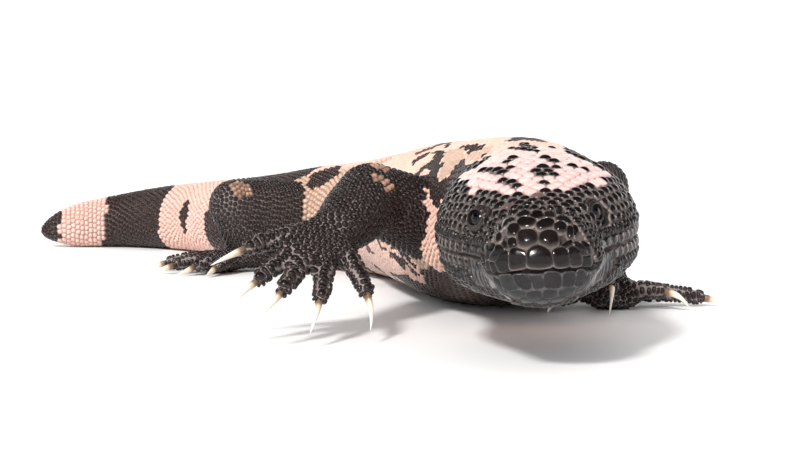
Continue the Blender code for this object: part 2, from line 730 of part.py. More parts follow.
def mouth_prism(name, material, open_up, inset):
    """The lower jaw's room: a side outline drawn across the whole head."""
    front, corner = MOUTH_LINE[1][0], MOUTH_LINE[-1][0]
    closing = MOUTH_OPEN_CORNER / MOUTH_OPEN_FRONT
    outline = [(s, z + open_up * np.interp(s, (front, corner), (1, closing))) for s, z in MOUTH_LINE]
    outline += [(s - inset, z) for s, z in JAW_HINGE]
    outline += [(MOUTH_LINE[0][0], JAW_HINGE[-1][1])]
    stations, heights = np.array(outline).T
    points = []
    for x in (-HEAD_REACH, HEAD_REACH):
        plan = place_on_body(np.clip(stations, 0, None), np.full(len(outline), x), heights)
        plan[:, 1] += np.minimum(stations, 0)
        points += list(plan)
    count = len(outline)
    faces = [tuple(range(count)), tuple(range(count, 2 * count))]
    faces += [(k, (k + 1) % count, count + (k + 1) % count, count + k) for k in range(count)]
    return new_object(name, points, faces, material)


def both_sides(place):
    """World places of a head feature on the left and the right."""
    s, x, z = place
    for side, sign in (("left", 1.0), ("right", -1.0)):
        yield side, sign, place_on_body(np.array(s), np.array(x * sign), np.array(z))


def copy_of(thing, name):
    twin = bpy.data.objects.new(name, thing.data.copy())
    bpy.context.scene.collection.objects.link(twin)
    return twin


def build_head(skin, horn):
    head = head_loft("head", skin)
    raised = snout_plates(skin)
    raised += lip_plates(UPPER_LIP_PLATES, LIP_PLATE_RISE, skin)
    raised += lip_plates(LOWER_LIP_PLATES, -LIP_PLATE_RISE, skin)
    raised += crown_beads(skin, np.random.default_rng(3))
    hollows = []
    for side, sign, centre in both_sides(EYE):
        look = (EYE_LOOK[0] * sign, EYE_LOOK[1], EYE_LOOK[2])
        raised.append(lid_ring("lid_" + side, centre, look, skin))
        hollows.append(ball("socket_" + side, centre, (EYE_RADIUS + GAP,) * 3, skin))
        shade(ball("eye_" + side, centre, (EYE_RADIUS,) * 3, horn))
    for sign in (1, -1):
        s, angle = place_seen_from_front(NOSTRIL[0] * sign, NOSTRIL[1])
        hollows.append(ball("nostril", body_surface(s, angle), NOSTRIL_SIZE, skin, 5, 8))
    for side, _, centre in both_sides(EAR):
        hollows.append(ball("ear_" + side, centre, EAR_SIZE, skin, 7, 10))
    boolean(head, raised, "UNION")
    jaw = copy_of(head, "lower_jaw")
    half_open = MOUTH_OPEN_FRONT / 2
    boolean(jaw, [mouth_prism("jaw_room", skin, -half_open, GAP)], "INTERSECT")
    boolean(head, [mouth_prism("mouth", skin, half_open, 0.0)], "DIFFERENCE")
    boolean(head, hollows, "DIFFERENCE")
    shade(head)
    shade(jaw)


def build_body(black, pink):
    spans = (
        ("neck", HEAD_END, NECK_END, NECK_STEP, NECK_SIDES, pink),
        ("torso", NECK_END, VENT, TRUNK_STEP, TRUNK_SIDES, pink),
    )
    for name, start, end, step, sides, material in spans:
        shade(loft(name, body_rings(start + GAP / 2, end - GAP / 2, step, sides), material))
    rings = body_rings(VENT + GAP / 2, LENGTH - TAIL_ROUND, TAIL_STEP, TAIL_SIDES)
    rings += tail_tip_rings(TAIL_SIDES)
    shade(loft("tail", rings, black, end_point=body_surface(LENGTH, 0.0)))


def grown_body(material):
    """The whole body a gap larger, which cuts the roots of the legs."""
    rings = body_rings(SNOUT_ROUND, LENGTH - TAIL_ROUND, 6.0, 2 * TRUNK_SIDES, GAP)
    return loft("grown_body", rings, material)


def build_leg(name, leg, plan, skin, horn):
    root, middle, end = leg["joints"]
    upper = rounded_limb(f"{name}_upper_leg", root, middle, leg["upper"], skin)
    lower = rounded_limb(f"{name}_lower_leg", middle, end, leg["lower"], skin)
    sole = foot(f"{name}_foot", leg, plan, skin)
    boolean(upper, [grown_body(skin)], "DIFFERENCE")
    boolean(lower, [grown_body(skin)], "DIFFERENCE")
    boolean(sole, [grown_body(skin)], "DIFFERENCE")
    part_at_joint(upper, lower, root, middle, end)
    part_at_joint(lower, sole, middle, end, plan["knuckles"])
    cut_off(sole, (0, 0, 0), (0, 0, -1))
    cut_off(lower, (0, 0, GAP), (0, 0, -1))
    for piece in (upper, lower, sole):
        shade(largest_surface(piece))
    palm_middle = (np.array(end) + np.array(plan["knuckles"])) / 2
    up = np.array(plan["back_of_foot"])
    for n, (knuckle, toe_end, tip) in enumerate(plan["toes"], start=1):
        shade(claw(f"{name}_claw_{n}", knuckle, toe_end, tip, palm_middle, up, horn))


def own_materials():
    """Gives each node a material of its own, under its own name."""
    for thing in bpy.data.objects:
        if thing.type == "MESH":
            material = thing.data.materials[0].copy()
            material.name = thing.name
            thing.data.materials.clear()
            thing.data.materials.append(material)


def parent_all(name):
    """Hangs every node on one empty, at the origin."""
    root = bpy.data.objects.new(name, None)
    bpy.context.scene.collection.objects.link(root)
    for thing in bpy.data.objects:
        if thing.type == "MESH":
            thing.parent = root


def main():
    for thing in list(bpy.data.objects):
        bpy.data.objects.remove(thing, do_unlink=True)
    black = new_material("black_skin", BLACK_SKIN, 0.35)
    pink = new_material("pink_skin", PINK_SKIN, 0.45)
    horn = new_material("claw_horn", CLAW_HORN, 0.35)
    eye = new_material("dark_eye", EYE_DARK, 0.05)
    build_head(black, eye)
    build_body(black, pink)
    for name, leg in LEGS.items():
        build_leg(name, leg, FEET[name], black, horn)
    own_materials()
    parent_all("gila_monster")


main()
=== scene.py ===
"""The looks of a life-size gila monster: one skin over the solids' flesh, beads set on it, eyes and claws.

Sizes are in millimetres, in the solids' frame, and MM turns them into metres. s is the distance from the
snout along the body, and an angle runs round the body from its left flank over the back.
"""

import math

import bmesh
import bpy
import numpy as np
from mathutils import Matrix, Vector, noise
from mathutils.bvhtree import BVHTree
from mathutils.kdtree import KDTree


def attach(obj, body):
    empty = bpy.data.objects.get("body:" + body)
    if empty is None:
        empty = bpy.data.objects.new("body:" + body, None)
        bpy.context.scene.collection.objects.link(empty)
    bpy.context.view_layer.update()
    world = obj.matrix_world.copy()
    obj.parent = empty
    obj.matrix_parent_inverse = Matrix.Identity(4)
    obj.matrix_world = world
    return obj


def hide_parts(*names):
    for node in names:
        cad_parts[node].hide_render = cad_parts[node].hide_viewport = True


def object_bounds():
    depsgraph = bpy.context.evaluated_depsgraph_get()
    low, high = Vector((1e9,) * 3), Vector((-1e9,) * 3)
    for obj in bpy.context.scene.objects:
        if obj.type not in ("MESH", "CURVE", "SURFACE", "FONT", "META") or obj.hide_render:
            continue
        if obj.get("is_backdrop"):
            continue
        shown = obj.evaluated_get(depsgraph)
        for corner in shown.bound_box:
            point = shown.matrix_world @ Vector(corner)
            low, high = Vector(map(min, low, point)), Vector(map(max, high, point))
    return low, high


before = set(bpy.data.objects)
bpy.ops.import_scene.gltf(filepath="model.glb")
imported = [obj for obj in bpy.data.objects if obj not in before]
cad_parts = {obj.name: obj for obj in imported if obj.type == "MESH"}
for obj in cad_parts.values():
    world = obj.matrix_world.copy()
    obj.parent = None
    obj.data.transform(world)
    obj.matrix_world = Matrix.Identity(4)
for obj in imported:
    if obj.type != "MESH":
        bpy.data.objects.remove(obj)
CAD_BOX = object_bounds()
MM = 0.001

# The body: its axis seen from above, snout to tail tip, and the length along it
SPINE_PLAN = (
    (16.0, -196.0),
    (18.6, -146.0),
    (18.0, -110.0),
    (15.0, -70.0),
    (8.0, -22.0),
    (-2.0, 22.0),
    (-22.0, 52.0),
    (-48.0, 74.0),
    (-71.0, 98.0),
    (-94.0, 131.0),
    (-125.0, 152.0),
    (-163.0, 149.0),
)

# Cross sections: distance from the snout, half width, heights of the underside, widest line and back,
# and how square the upper and lower halves are, where 2 is an ellipse
SECTIONS = (
    (0.0, 11.7, 16.4, 24.2, 33.2, 2.4, 2.2),
    (9.0, 12.2, 15.2, 24.2, 35.2, 2.4, 2.2),
    (15.0, 13.6, 14.8, 24.6, 37.2, 2.3, 2.2),
    (20.0, 15.3, 14.4, 25.0, 38.9, 2.2, 2.2),
    (26.0, 18.0, 14.0, 25.6, 41.0, 2.2, 2.2),
    (33.0, 21.0, 13.6, 26.4, 43.2, 2.2, 2.1),
    (41.0, 23.2, 13.2, 27.2, 45.4, 2.2, 2.1),
    (50.0, 24.1, 12.8, 28.0, 47.4, 2.2, 2.1),
    (59.0, 23.4, 12.6, 28.2, 48.7, 2.2, 2.2),
    (70.0, 22.2, 12.2, 28.4, 49.7, 2.3, 2.3),
    (84.0, 22.4, 11.4, 28.0, 50.4, 2.3, 2.3),
    (105.0, 25.2, 7.5, 26.0, 50.8, 2.3, 2.3),
    (130.0, 28.2, 1.0, 23.0, 50.2, 2.2, 2.4),
    (155.0, 30.6, -1.6, 20.5, 49.0, 2.2, 2.4),
    (195.0, 31.6, -1.9, 19.5, 47.2, 2.2, 2.4),
    (230.0, 29.6, -1.7, 19.0, 43.6, 2.2, 2.4),
    (258.0, 25.0, -1.2, 18.0, 39.6, 2.2, 2.3),
    (285.0, 20.6, -1.0, 16.5, 36.4, 2.1, 2.2),
    (305.0, 17.6, -0.9, 15.0, 33.4, 2.1, 2.2),
    (325.0, 16.2, -0.9, 14.2, 31.2, 2.0, 2.2),
    (355.0, 15.2, -0.9, 13.2, 28.8, 2.0, 2.2),
    (385.0, 13.2, -0.8, 11.6, 25.6, 2.0, 2.1),
    (418.0, 10.4, -0.7, 9.2, 19.8, 2.0, 2.1),
    (436.0, 8.6, -0.6, 6.8, 16.2, 2.0, 2.0),
    (458.0, 6.4, -0.5, 3.4, 10.6, 2.0, 2.0),
)
SNOUT_ROUND = 9.0
TAIL_ROUND = 20.0
HEAD_ROLL = math.radians(4.0)
ROLL_AXIS_HEIGHT = 27.0
ROLL_FULL_TO, ROLL_GONE_BY = 50.0, 95.0

# Swellings and hollows of the head, the same on both sides:
# distance from the snout, distance from the middle, height, radius, and how far it stands out
HEAD_FORMS = (
    (6.5, 8.0, 30.5, 3.2, 0.6),
    (10.0, 12.5, 26.5, 4.5, 0.7),
    (20.0, 15.5, 29.5, 5.0, -0.8),
    (22.5, 14.0, 38.0, 4.5, 1.0),
    (31.0, 20.0, 31.5, 5.0, 0.6),
    (44.0, 22.5, 35.0, 10.0, 0.6),
    (44.0, 21.0, 18.0, 8.0, 0.5),
    (62.0, 23.0, 31.0, 5.0, -0.8),
)

HEAD_END = 60.0

# The mouth's line from the snout to the corner: distance, height
MOUTH_LINE = (
    (-6.0, 23.9),
    (7.0, 23.8),
    (12.0, 24.4),
    (18.0, 25.7),
    (30.0, 26.4),
    (41.0, 27.0),
    (51.0, 28.0),
)
EYE_RADIUS = 2.9
NOSTRIL_SIZE, NOSTRIL_DEPTH = (1.1, 1.2, 1.0), 1.9
# Ears, on both sides: distance from the snout, distance from the middle, height, then their half sizes
EAR = (56.5, 24.6, 30.0)
EAR_SIZE, EAR_DEPTH = (1.5, 1.7, 3.4), 2.0

# Legs: the joints, then the radius at the root, the middle and the end of both lengths
LEGS = {
    "fore_right": {
        "joints": ((-3.0, -70.0, 25.0), (-23.0, -93.5, 34.0), (-31.5, -116.0, 26.6)),
        "upper": (12.5, 11.0, 9.9),
        "lower": (9.9, 9.0, 7.2),
    },
    "fore_left": {
        "joints": ((31.0, -74.0, 26.0), (46.2, -45.0, 34.4), (45.5, -52.0, 8.0)),
        "upper": (12.0, 9.6, 8.0),
        "lower": (8.0, 8.2, 6.4),
    },
    "hind_right": {
        "joints": ((-46.0, 62.0, 18.0), (-73.0, 40.0, 24.0), (-67.0, 49.0, 7.0)),
        "upper": (13.0, 11.6, 8.8),
        "lower": (8.8, 8.4, 6.2),
    },
    "hind_left": {
        "joints": ((-34.0, 78.0, 18.0), (-1.0, 96.0, 23.0), (8.0, 116.0, 7.0)),
        "upper": (13.0, 11.6, 8.8),
        "lower": (8.8, 8.4, 6.2),
    },
}

# Feet: the middle of the knuckles, the palm's normal, and for each toe, inner to outer,
# its knuckle, its end and the tip of its claw
FEET = {
    "fore_right": {
        "knuckles": (-36.0, -126.0, 23.5),
        "back_of_foot": (0.26, -0.63, 0.73),
        "toes": (
            ((-27.8, -123.0, 23.2), (-23.0, -135.5, 11.0), (-22.4, -139.0, 3.4)),
            ((-32.4, -126.5, 22.4), (-35.1, -142.5, 10.4), (-37.0, -147.6, 3.8)),
            ((-36.8, -127.0, 23.2), (-44.8, -145.0, 12.9), (-48.6, -150.5, 8.8)),
            ((-40.4, -125.0, 25.2), (-51.4, -140.0, 15.3), (-55.4, -144.6, 11.6)),
            ((-41.6, -121.5, 28.4), (-55.2, -132.5, 22.8), (-62.6, -136.0, 19.4)),
        ),
    },
    "fore_left": {
        "knuckles": (47.0, -63.0, 3.4),
        "back_of_foot": (0.0, 0.0, 1.0),
        "toes": (
            ((41.5, -63.0, 2.8), (29.8, -74.0, 3.2), (26.8, -78.6, 0.4)),
            ((44.5, -67.0, 3.0), (44.8, -80.5, 7.6), (43.6, -85.0, 0.4)),
            ((51.0, -66.0, 2.6), (62.4, -70.5, 5.4), (69.0, -68.0, 0.4)),
            ((54.0, -61.5, 2.4), (75.5, -58.5, 2.3), (82.0, -57.0, 0.4)),
            ((53.0, -55.5, 2.6), (66.0, -44.5, 2.4), (73.0, -38.0, 0.4)),
        ),
    },
    "hind_right": {
        "knuckles": (-78.0, 45.0, 3.5),
        "back_of_foot": (0.0, 0.0, 1.0),
        "toes": (
            ((-73.0, 40.0, 3.4), (-79.0, 28.5, 2.5), (-81.0, 21.0, 0.5)),
            ((-78.0, 39.0, 3.6), (-87.0, 31.0, 2.5), (-92.5, 25.5, 0.5)),
            ((-82.0, 41.5, 3.8), (-95.0, 37.0, 2.6), (-102.5, 34.5, 0.5)),
            ((-83.0, 45.5, 3.6), (-99.0, 49.0, 2.5), (-107.0, 49.5, 0.5)),
            ((-79.0, 50.0, 3.4), (-90.0, 61.0, 2.5), (-95.5, 67.0, 0.5)),
        ),
    },
    "hind_left": {
        "knuckles": (18.5, 114.0, 3.5),
        "back_of_foot": (0.0, 0.0, 1.0),
        "toes": (
            ((15.0, 109.0, 3.4), (18.0, 97.0, 2.5), (19.5, 89.5, 0.5)),
            ((20.0, 108.5, 3.6), (29.0, 99.0, 2.5), (34.0, 93.5, 0.5)),
            ((23.5, 111.5, 3.8), (37.0, 107.0, 2.6), (44.5, 105.0, 0.5)),
            ((24.0, 116.0, 3.6), (40.0, 118.5, 2.5), (48.0, 119.0, 0.5)),
            ((20.0, 120.0, 3.4), (30.0, 130.0, 2.5), (36.0, 135.5, 0.5)),
        ),
    },
}
PALM_WRIST = (6.6, 5.4)
PALM_KNUCKLES = (9.6, 3.9)
PALM_END = (6.0, 2.4)
PALM_NOSE, WRIST_LAP = 6.0, 4.0
TOE_RADII = (3.1, 2.9, 2.5)
TOE_ARCH = 1.0
TOE_ROOT = 0.45
CLAW_RADIUS = 1.45
CLAW_DROOP = 0.45
CLAW_FLATNESS = 0.8

# The coat: how deep the skin lies under the solids, by part, and where the head's coat turns to the body's
HEAD_COAT, BODY_COAT, LIMB_COAT, TOE_COAT, SOLE_COAT = 0.35, 0.8, 0.7, 0.5, 0.55
COAT_CHANGE = (50, 68)
FLOOR_CLEAR = 0.02
# How far a limb's round ends reach, in radii, and the length of a toe's rounded tip
ROUND_END, TOE_TIP = 0.93, 2.2
# The skin's voxel, how often the skin is smoothed, and where the head's finer skin ends
SKIN_VOXEL, SMOOTH_TURNS, FINE_SMOOTH_TURNS = 1.05, 5, 2
HEAD_BACK_Y, HEAD_RIGHT_X = -134.0, -13.0
# The gap between a toe and its claw
GAP = 0.3

# The head's folds behind the snout: from, to, height over the mouth line, half height, depth
CHEEK_FOLDS = ((12.0, 46.0, 2.6, 0.5, 0.35), (12.0, 40.0, 4.6, 0.5, 0.3), (14.0, 44.0, -2.4, 0.5, 0.25))
MOUTH_DEPTH = 2.4
# The groove of the mouth by distance from the snout: how deep, and half how wide
GROOVE_DEPTH = ((0, 14, 40, 51), (MOUTH_DEPTH, MOUTH_DEPTH * 0.8, 1.2, 0.6))
GROOVE_WIDTH = ((0, 10, 20, 51), (0.75, 0.7, 0.45, 0.4))
# The strip along the mouth that stays free of beads, by distance from the snout
BARE_LIP = ((0, 12, 51), (0.62, 0.55, 0.3))
# Nostrils as seen from the front: distance from the middle, height
NOSTRILS = ((-8.3, 31.7), (4.9, 30.6))
# Eyes: side, sign, and distance from the snout, distance from the middle, height
EYES = (("left", 1.0, (24.8, 11.2, 33.9)), ("right", -1.0, (24.8, -12.9, 34.2)))
EYE_LOOK = (0.76, -0.60, 0.24)
# The socket: its radius, its soft edge, its floor and its back along the look, and how far beads stay away
SOCKET, SOCKET_EDGE, SOCKET_FLOOR, SOCKET_BACK, LID_OUT = 3.5, 1.2, 1.2, -3.0, 3.3
# The cornea's rise and reach on the eyeball, and how many sides eyeballs and lids have
CORNEA, CORNEA_REACH, EYE_SIDES, LID_SIDES = 0.06, 0.6, 48, 120
# The lids: half sizes of their opening, their reach and how many scales go round
LID_OPENING, LID_REACH, LID_GRAINS = (2.3, 1.85), 3.45, 15
# The lids' section: share of the way out, height along the look, size of its scales, how pale
LID_SECTION = (
    (1.0, -1.5, 0.0, 0.3),
    (1.0, 0.6, 0.0, 0.6),
    (0.92, 1.45, 0.10, 0.5),
    (0.78, 2.0, 0.42, 0.0),
    (0.62, 2.30, 0.12, 0.45),
    (0.47, 2.45, 0.40, 0.0),
    (0.31, 2.72, 0.10, 0.45),
    (0.18, 2.82, 0.24, 0.05),
    (0.07, 2.98, 0.0, 0.7),
    (0.0, 2.86, 0.0, 0.3),
)

# The photograph's camera and its frame of 800 x 449 pixels
CAMERA_PLACE = (-15.0, -580.0, 61.6)
LENS, SENSOR, NEAR_CLIP = 80.0, 36.0, 0.01
FOCAL_PIXELS, FRAME_MIDDLE = 1777.8, (400.0, 224.5)
CAMERA_DIP = math.atan(127.5 / FOCAL_PIXELS)
# Outlines picked on enlarged parts of the photograph, in pixels of the enlarged part.
# Of each part: its left edge, its top edge, in the frame's pixels, and how many times it is enlarged
PARTS = {
    "whole": (0.0, 0.0, 1.0),
    "face": (475.0, 215.0, 12.8),
    "neck": (375.0, 130.0, 10.0),
    "crown": (460.0, 130.0, 8.889),
    "flank": (360.0, 190.0, 13.333),
}

# Kinds of bead
BEAD, VOID, PLATE, TAKEN = 1, 0, 2, 3
# Plates of snout and chin: rise, how flat, and the outline, picked on the part "face"
FACE_PLATES = (
    # the plate in the middle of the lip
    (1.0, 0.75, ((650, 460), (720, 405), (800, 378), (880, 402), (965, 465), (992, 550), (1002, 655),
        (830, 672), (655, 668), (650, 560))),
    # the upper lip's plates, left and then further out
    (0.95, 0.7, ((430, 455), (470, 418), (530, 418), (590, 445), (640, 462), (645, 560), (650, 664),
        (540, 692), (440, 716), (426, 600))),
    (0.9, 0.7, ((375, 440), (415, 455), (421, 580), (437, 714), (305, 732), (275, 660), (252, 600),
        (305, 525))),
    (1.0, 0.6, ((88, 440), (130, 392), (190, 368), (245, 398), (238, 440), (165, 580), (118, 590),
        (88, 520))),
    (1.0, 0.6, ((250, 395), (310, 385), (350, 415), (370, 438), (300, 525), (250, 595), (175, 582),
        (245, 440))),
    (0.6, 0.8, ((90, 545), (165, 590), (190, 645), (200, 720), (150, 690), (100, 640))),
    (0.6, 0.8, ((178, 594), (250, 605), (280, 670), (300, 730), (212, 732), (197, 650))),
    # round the nostrils and over the snout
    (1.6, 0.2, ((532, 265), (560, 208), (620, 180), (720, 185), (782, 215), (800, 275), (795, 350),
        (740, 392), (640, 418), (560, 397), (525, 340))),
    (1.45, 0.25, ((815, 262), (850, 215), (930, 192), (1020, 205), (1072, 258), (1085, 340), (1060, 388),
        (960, 408), (870, 378), (812, 340))),
    (1.3, 0.3, ((398, 185), (430, 125), (490, 105), (552, 130), (572, 180), (548, 240), (512, 278),
        (430, 268), (398, 240))),
    (0.8, 0.5, ((420, 300), (480, 288), (515, 318), (520, 370), (500, 412), (440, 424), (410, 390),
        (408, 340))),
    (0.6, 0.5, ((330, 345), (400, 342), (412, 392), (372, 432), (338, 405))),
    (1.35, 0.2, ((1010, 150), (1040, 100), (1100, 78), (1160, 108), (1182, 160), (1170, 212), (1100, 232),
        (1030, 205))),
    (1.0, 0.4, ((1030, 65), (1060, 20), (1130, 5), (1200, 18), (1242, 60), (1228, 122), (1190, 115),
        (1140, 80), (1060, 85))),
    (0.9, 0.4, ((1190, 130), (1240, 130), (1265, 200), (1250, 295), (1212, 312), (1186, 250))),
    (1.2, 0.4, ((515, 90), (550, 50), (620, 32), (720, 38), (782, 70), (765, 130), (700, 152), (620, 160),
        (565, 150), (535, 118))),
    (1.2, 0.4, ((790, 110), (850, 65), (950, 40), (1015, 58), (1005, 120), (965, 165), (885, 182),
        (820, 190), (780, 150))),
    (1.0, 0.4, ((338, 115), (370, 60), (430, 30), (510, 45), (500, 85), (430, 105), (390, 140), (362, 172),
        (335, 150))),
    # the right side of the snout
    (0.95, 0.7, ((985, 455), (1050, 415), (1120, 410), (1165, 430), (1192, 470), (1208, 540), (1222, 650),
        (1110, 666), (1010, 668), (998, 540))),
    (0.95, 0.7, ((1192, 425), (1240, 388), (1300, 422), (1355, 470), (1382, 525), (1372, 640), (1300, 655),
        (1230, 656), (1212, 540), (1198, 460))),
    (1.0, 0.6, ((1272, 330), (1330, 345), (1380, 402), (1440, 470), (1462, 512), (1400, 522), (1355, 462),
        (1300, 415), (1262, 372))),
    (1.0, 0.6, ((1350, 318), (1420, 350), (1482, 420), (1488, 480), (1468, 505), (1400, 412))),
    (0.7, 0.8, ((1395, 532), (1480, 520), (1502, 580), (1492, 640), (1382, 655), (1386, 590))),
    # above the snout
    (1.0, 0.4, ((520, 20), (560, -30), (640, -60), (700, -40), (700, 15), (620, 25), (560, 40))),
    (1.0, 0.4, ((710, 20), (720, -40), (800, -60), (870, -30), (870, 30), (820, 50), (780, 58))),
    (1.0, 0.4, ((880, 30), (890, -30), (960, -50), (1020, -25), (1020, 30), (950, 30))),
    # outside the nostrils
    (0.7, 0.4, ((250, 100), (290, 90), (325, 140), (340, 180), (318, 225), (280, 190))),
    (0.7, 0.4, ((240, 215), (285, 205), (315, 240), (312, 300), (290, 370), (262, 330))),
    (0.7, 0.4, ((1255, 110), (1310, 120), (1330, 200), (1300, 290), (1272, 300), (1275, 200))),
    (0.6, 0.5, ((1085, 385), (1150, 372), (1205, 320), (1245, 310), (1255, 370), (1190, 400), (1130, 402))),
    # the chin, from its upper row to its lowest
    (0.35, 1.0, ((300, 800), (450, 790), (470, 860), (560, 945), (480, 950), (400, 985), (335, 930))),
    (0.35, 1.0, ((462, 792), (640, 800), (700, 840), (720, 950), (650, 975), (570, 945), (480, 860))),
    (0.35, 1.0, ((650, 800), (860, 792), (885, 870), (880, 950), (740, 960), (725, 880))),
    (0.35, 1.0, ((870, 792), (1050, 780), (1120, 800), (1110, 940), (1070, 955), (960, 945), (890, 950))),
    (0.35, 1.0, ((1130, 780), (1240, 770), (1310, 770), (1290, 900), (1270, 928), (1180, 935),
        (1120, 940))),
    (0.35, 1.0, ((1330, 755), (1430, 740), (1415, 850), (1395, 925), (1330, 930), (1300, 905))),
    (0.35, 1.0, ((405, 995), (500, 962), (600, 970), (638, 1000), (628, 1052), (540, 1078), (440, 1042))),
    (0.35, 1.0, ((650, 1000), (740, 972), (840, 982), (855, 1080), (740, 1105), (640, 1078))),
    (0.35, 1.0, ((866, 1000), (900, 962), (1050, 968), (1062, 1040), (1040, 1070), (900, 1085),
        (862, 1070))),
    (0.35, 1.0, ((1080, 975), (1180, 948), (1310, 942), (1290, 1000), (1200, 1050), (1082, 1052))),
    (0.35, 1.0, ((560, 1085), (630, 1068), (735, 1112), (720, 1145), (600, 1140))),
    (0.35, 1.0, ((750, 1112), (860, 1085), (960, 1092), (940, 1150), (740, 1150))),
    (0.35, 1.0, ((975, 1090), (1080, 1065), (1190, 1062), (1120, 1120), (960, 1145))),
    # down the sides of the jaw
    (0.45, 0.9, ((215, 775), (285, 792), (310, 900), (370, 980), (420, 1035), (340, 990), (260, 900))),
    (0.45, 0.9, ((140, 760), (205, 772), (235, 880), (300, 980), (380, 1040), (480, 1085), (380, 1070),
        (270, 1010), (180, 900))),
    (0.45, 0.9, ((1440, 725), (1490, 720), (1490, 830), (1440, 930), (1350, 1000), (1290, 1010),
        (1330, 945), (1400, 925))),
    (0.45, 0.9, ((1502, 718), (1550, 720), (1560, 820), (1510, 930), (1420, 1020), (1330, 1070),
        (1290, 1050), (1380, 1000), (1450, 940), (1500, 840))),
)
# No plate's outline goes further to the animal's right than this. The chin's plates, told by their
# rise, are lifted to the mouth where they stand higher than the second number
FACE_EDGE = -12.5
CHIN_RISE, CHIN_TOP_FROM, CHIN_LIFT = 0.35, 22.15, 0.75
# Plates along lips and jaw: from, to, pitch, upper and lower edge over the mouth line, sweep, rise,
# how flat, tone
LIP_PLATES = (
    (14.5, 48.0, 3.1, 2.9, 0.5, 0.0, 0.5, 0.25, "lip"),
    (23.0, 48.0, 3.1, -0.5, -2.9, 0.6, 0.5, 0.3, "lip"),
    (8.6, 22.5, 2.15, -0.6, -7.6, 3.4, 0.4, 0.9, "jaw"),
)
PLATE_TONES = {"plates_snout": "plate", "plates_lip": "lip", "plates_jaw": "jaw"}
# Sides of a plate, how far inside its edge its ground starts for other beads, and how much its outline
# shrinks for the groove round it: below zero it grows
PLATE_SIDES, GUARD = 40, 0.35
PLATE_GROOVE = {"plates_snout": -0.32, "plates_lip": -0.04, "plates_jaw": -0.03}
# A point inside the head, from which plates face away
HEAD_CORE = np.array((16.5, -165.0, 27.0))
# How much closer the cheeks' beads stand, round the body
CHEEK_SHRINK = 0.2
# Where the first row of beads stands, and how close rows stand, as a share of the pitch
FIRST_ROW, ROW_SHARE = 11.5, 0.87
# The space from bead to bead along the body and round it, by distance from the snout
PITCH_KNOTS = (10, 30, 55, 66, 80, 92, 130, 200, 300, 460)
PITCH_ALONG = (PITCH_KNOTS, (2.6, 3.0, 3.0, 2.7, 2.1, 1.75, 1.75, 1.95, 2.05, 2.1))
PITCH_AROUND = (PITCH_KNOTS, (2.7, 3.1, 3.1, 2.75, 2.1, 1.7, 1.7, 1.9, 2.0, 2.1))
# How unevenly beads are sized and placed, by distance from the snout
UNEVEN = ((60, 90), (0.17, 0.07))
SCATTER = ((60, 90), (0.13, 0.05))
BEAD_HEIGHT = ((0, 45, 62, 90, 300, 440), (1.05, 1.1, 1.0, 0.72, 0.75, 0.75))
# Scales of the limbs: length, width, height
LIMB_PITCH = {
    "upper": (1.6, 1.9, 0.72),
    "lower": (1.5, 2.05, 0.78),
    "palm": (1.6, 1.85, 0.7),
    "toe": (1.25, 3.0, 0.75),
}
TOE_SCALES = 4
# The rounded scale over each claw's root: length, width, height, how flat
HOOD = (1.3, 1.4, 0.75, 0.2)
# Beads that lie deeper in the flesh than this are dropped
DROP_REACH = 1.3
# How close two beads may stand, as a share of their sizes, within one tube and between two
SAME_TUBE_SHARE, OTHER_TUBE_SHARE = 0.52, 0.72
# How far bare skin may be from a bead, as a share of its size, from a plate and from a bare place
FILL_SHARE, FILL_BESIDE_PLATE, FILL_BESIDE_VOID = 1.5, 0.95, 1.8
# The share of an overlap that one turn takes out, the turns before and after filling, and the
# neighbours that count when beads are moved and when they are shaped
RELAX, RELAX_TURNS, LAST_TURNS = 0.45, 6, 3
NEAR_TO_MOVE, NEAR_TO_SHAPE = 7, 10
# A bead's outline: how sharp its corners are, the most it grows, the groove beside it and the least it
# reaches, and the size of its patch in the map
CORNER, MOST_REACH, GROOVE, LEAST_REACH, PATCH = 12, 1.4, 0.03, 0.25, 0.003
# Rings of a bead: its share of the reach, the height of a round and of a flat bead, and how much rim tone
PROFILE = ((1.0, -0.35, -0.35, 1.0), (0.90, 0.34, 0.42, 0.3), (0.56, 0.86, 0.93, 0.0))
FINE_PROFILE = (
    (1.0, -0.3, -0.3, 1.0),
    (0.95, 0.22, 0.3, 0.55),
    (0.8, 0.62, 0.8, 0.0),
    (0.42, 0.93, 0.97, 0.0),
)
COARSE_PROFILE = ((1.0, -0.35, -0.35, 1.0), (0.78, 0.62, 0.7, 0.15))
PLATE_PROFILE = (
    (1.0, -0.3, -0.35, 1.0),
    (0.985, 0.1, 0.35, 1.0),
    (0.94, 0.28, 0.68, 0.35),
    (0.84, 0.5, 0.86, 0.05),
    (0.66, 0.74, 0.95, 0.0),
    (0.38, 0.93, 0.99, 0.0),
)
# Rings and sides of the beads, by piece
FINENESS = {
    "beads_head": (FINE_PROFILE, 14),
    "beads_lower_jaw": (FINE_PROFILE, 12),
    "beads_neck": (PROFILE, 12),
    "beads_fore_right": (PROFILE, 12),
    "beads_torso_3": (COARSE_PROFILE, 9),
    "beads_torso_4": (COARSE_PROFILE, 9),
}
# Pieces of the body's coat and where each ends
BODY_PIECES = (
    ("beads_neck", 92.0),
    ("beads_torso_1", 140.0),
    ("beads_torso_2", 188.0),
    ("beads_torso_3", 240.0),
    ("beads_torso_4", 300.0),
    ("beads_tail_1", 372.0),
    ("beads_tail_2", 470.0),
)
BODY_NAMES = ("beads_head", "beads_lower_jaw") + tuple(name for name, _ in BODY_PIECES)

# Markings by distance from the snout and by turn, in degrees from the middle of the back,
# where the animal's right is positive
HEAD_BLACK_TO, SEEN_END, TAIL_MARKS_FROM = 62.0, 266.0, 262.0
# The turns that the photograph shows, where no pattern is made up
SEEN = (-25.0, 115.0)
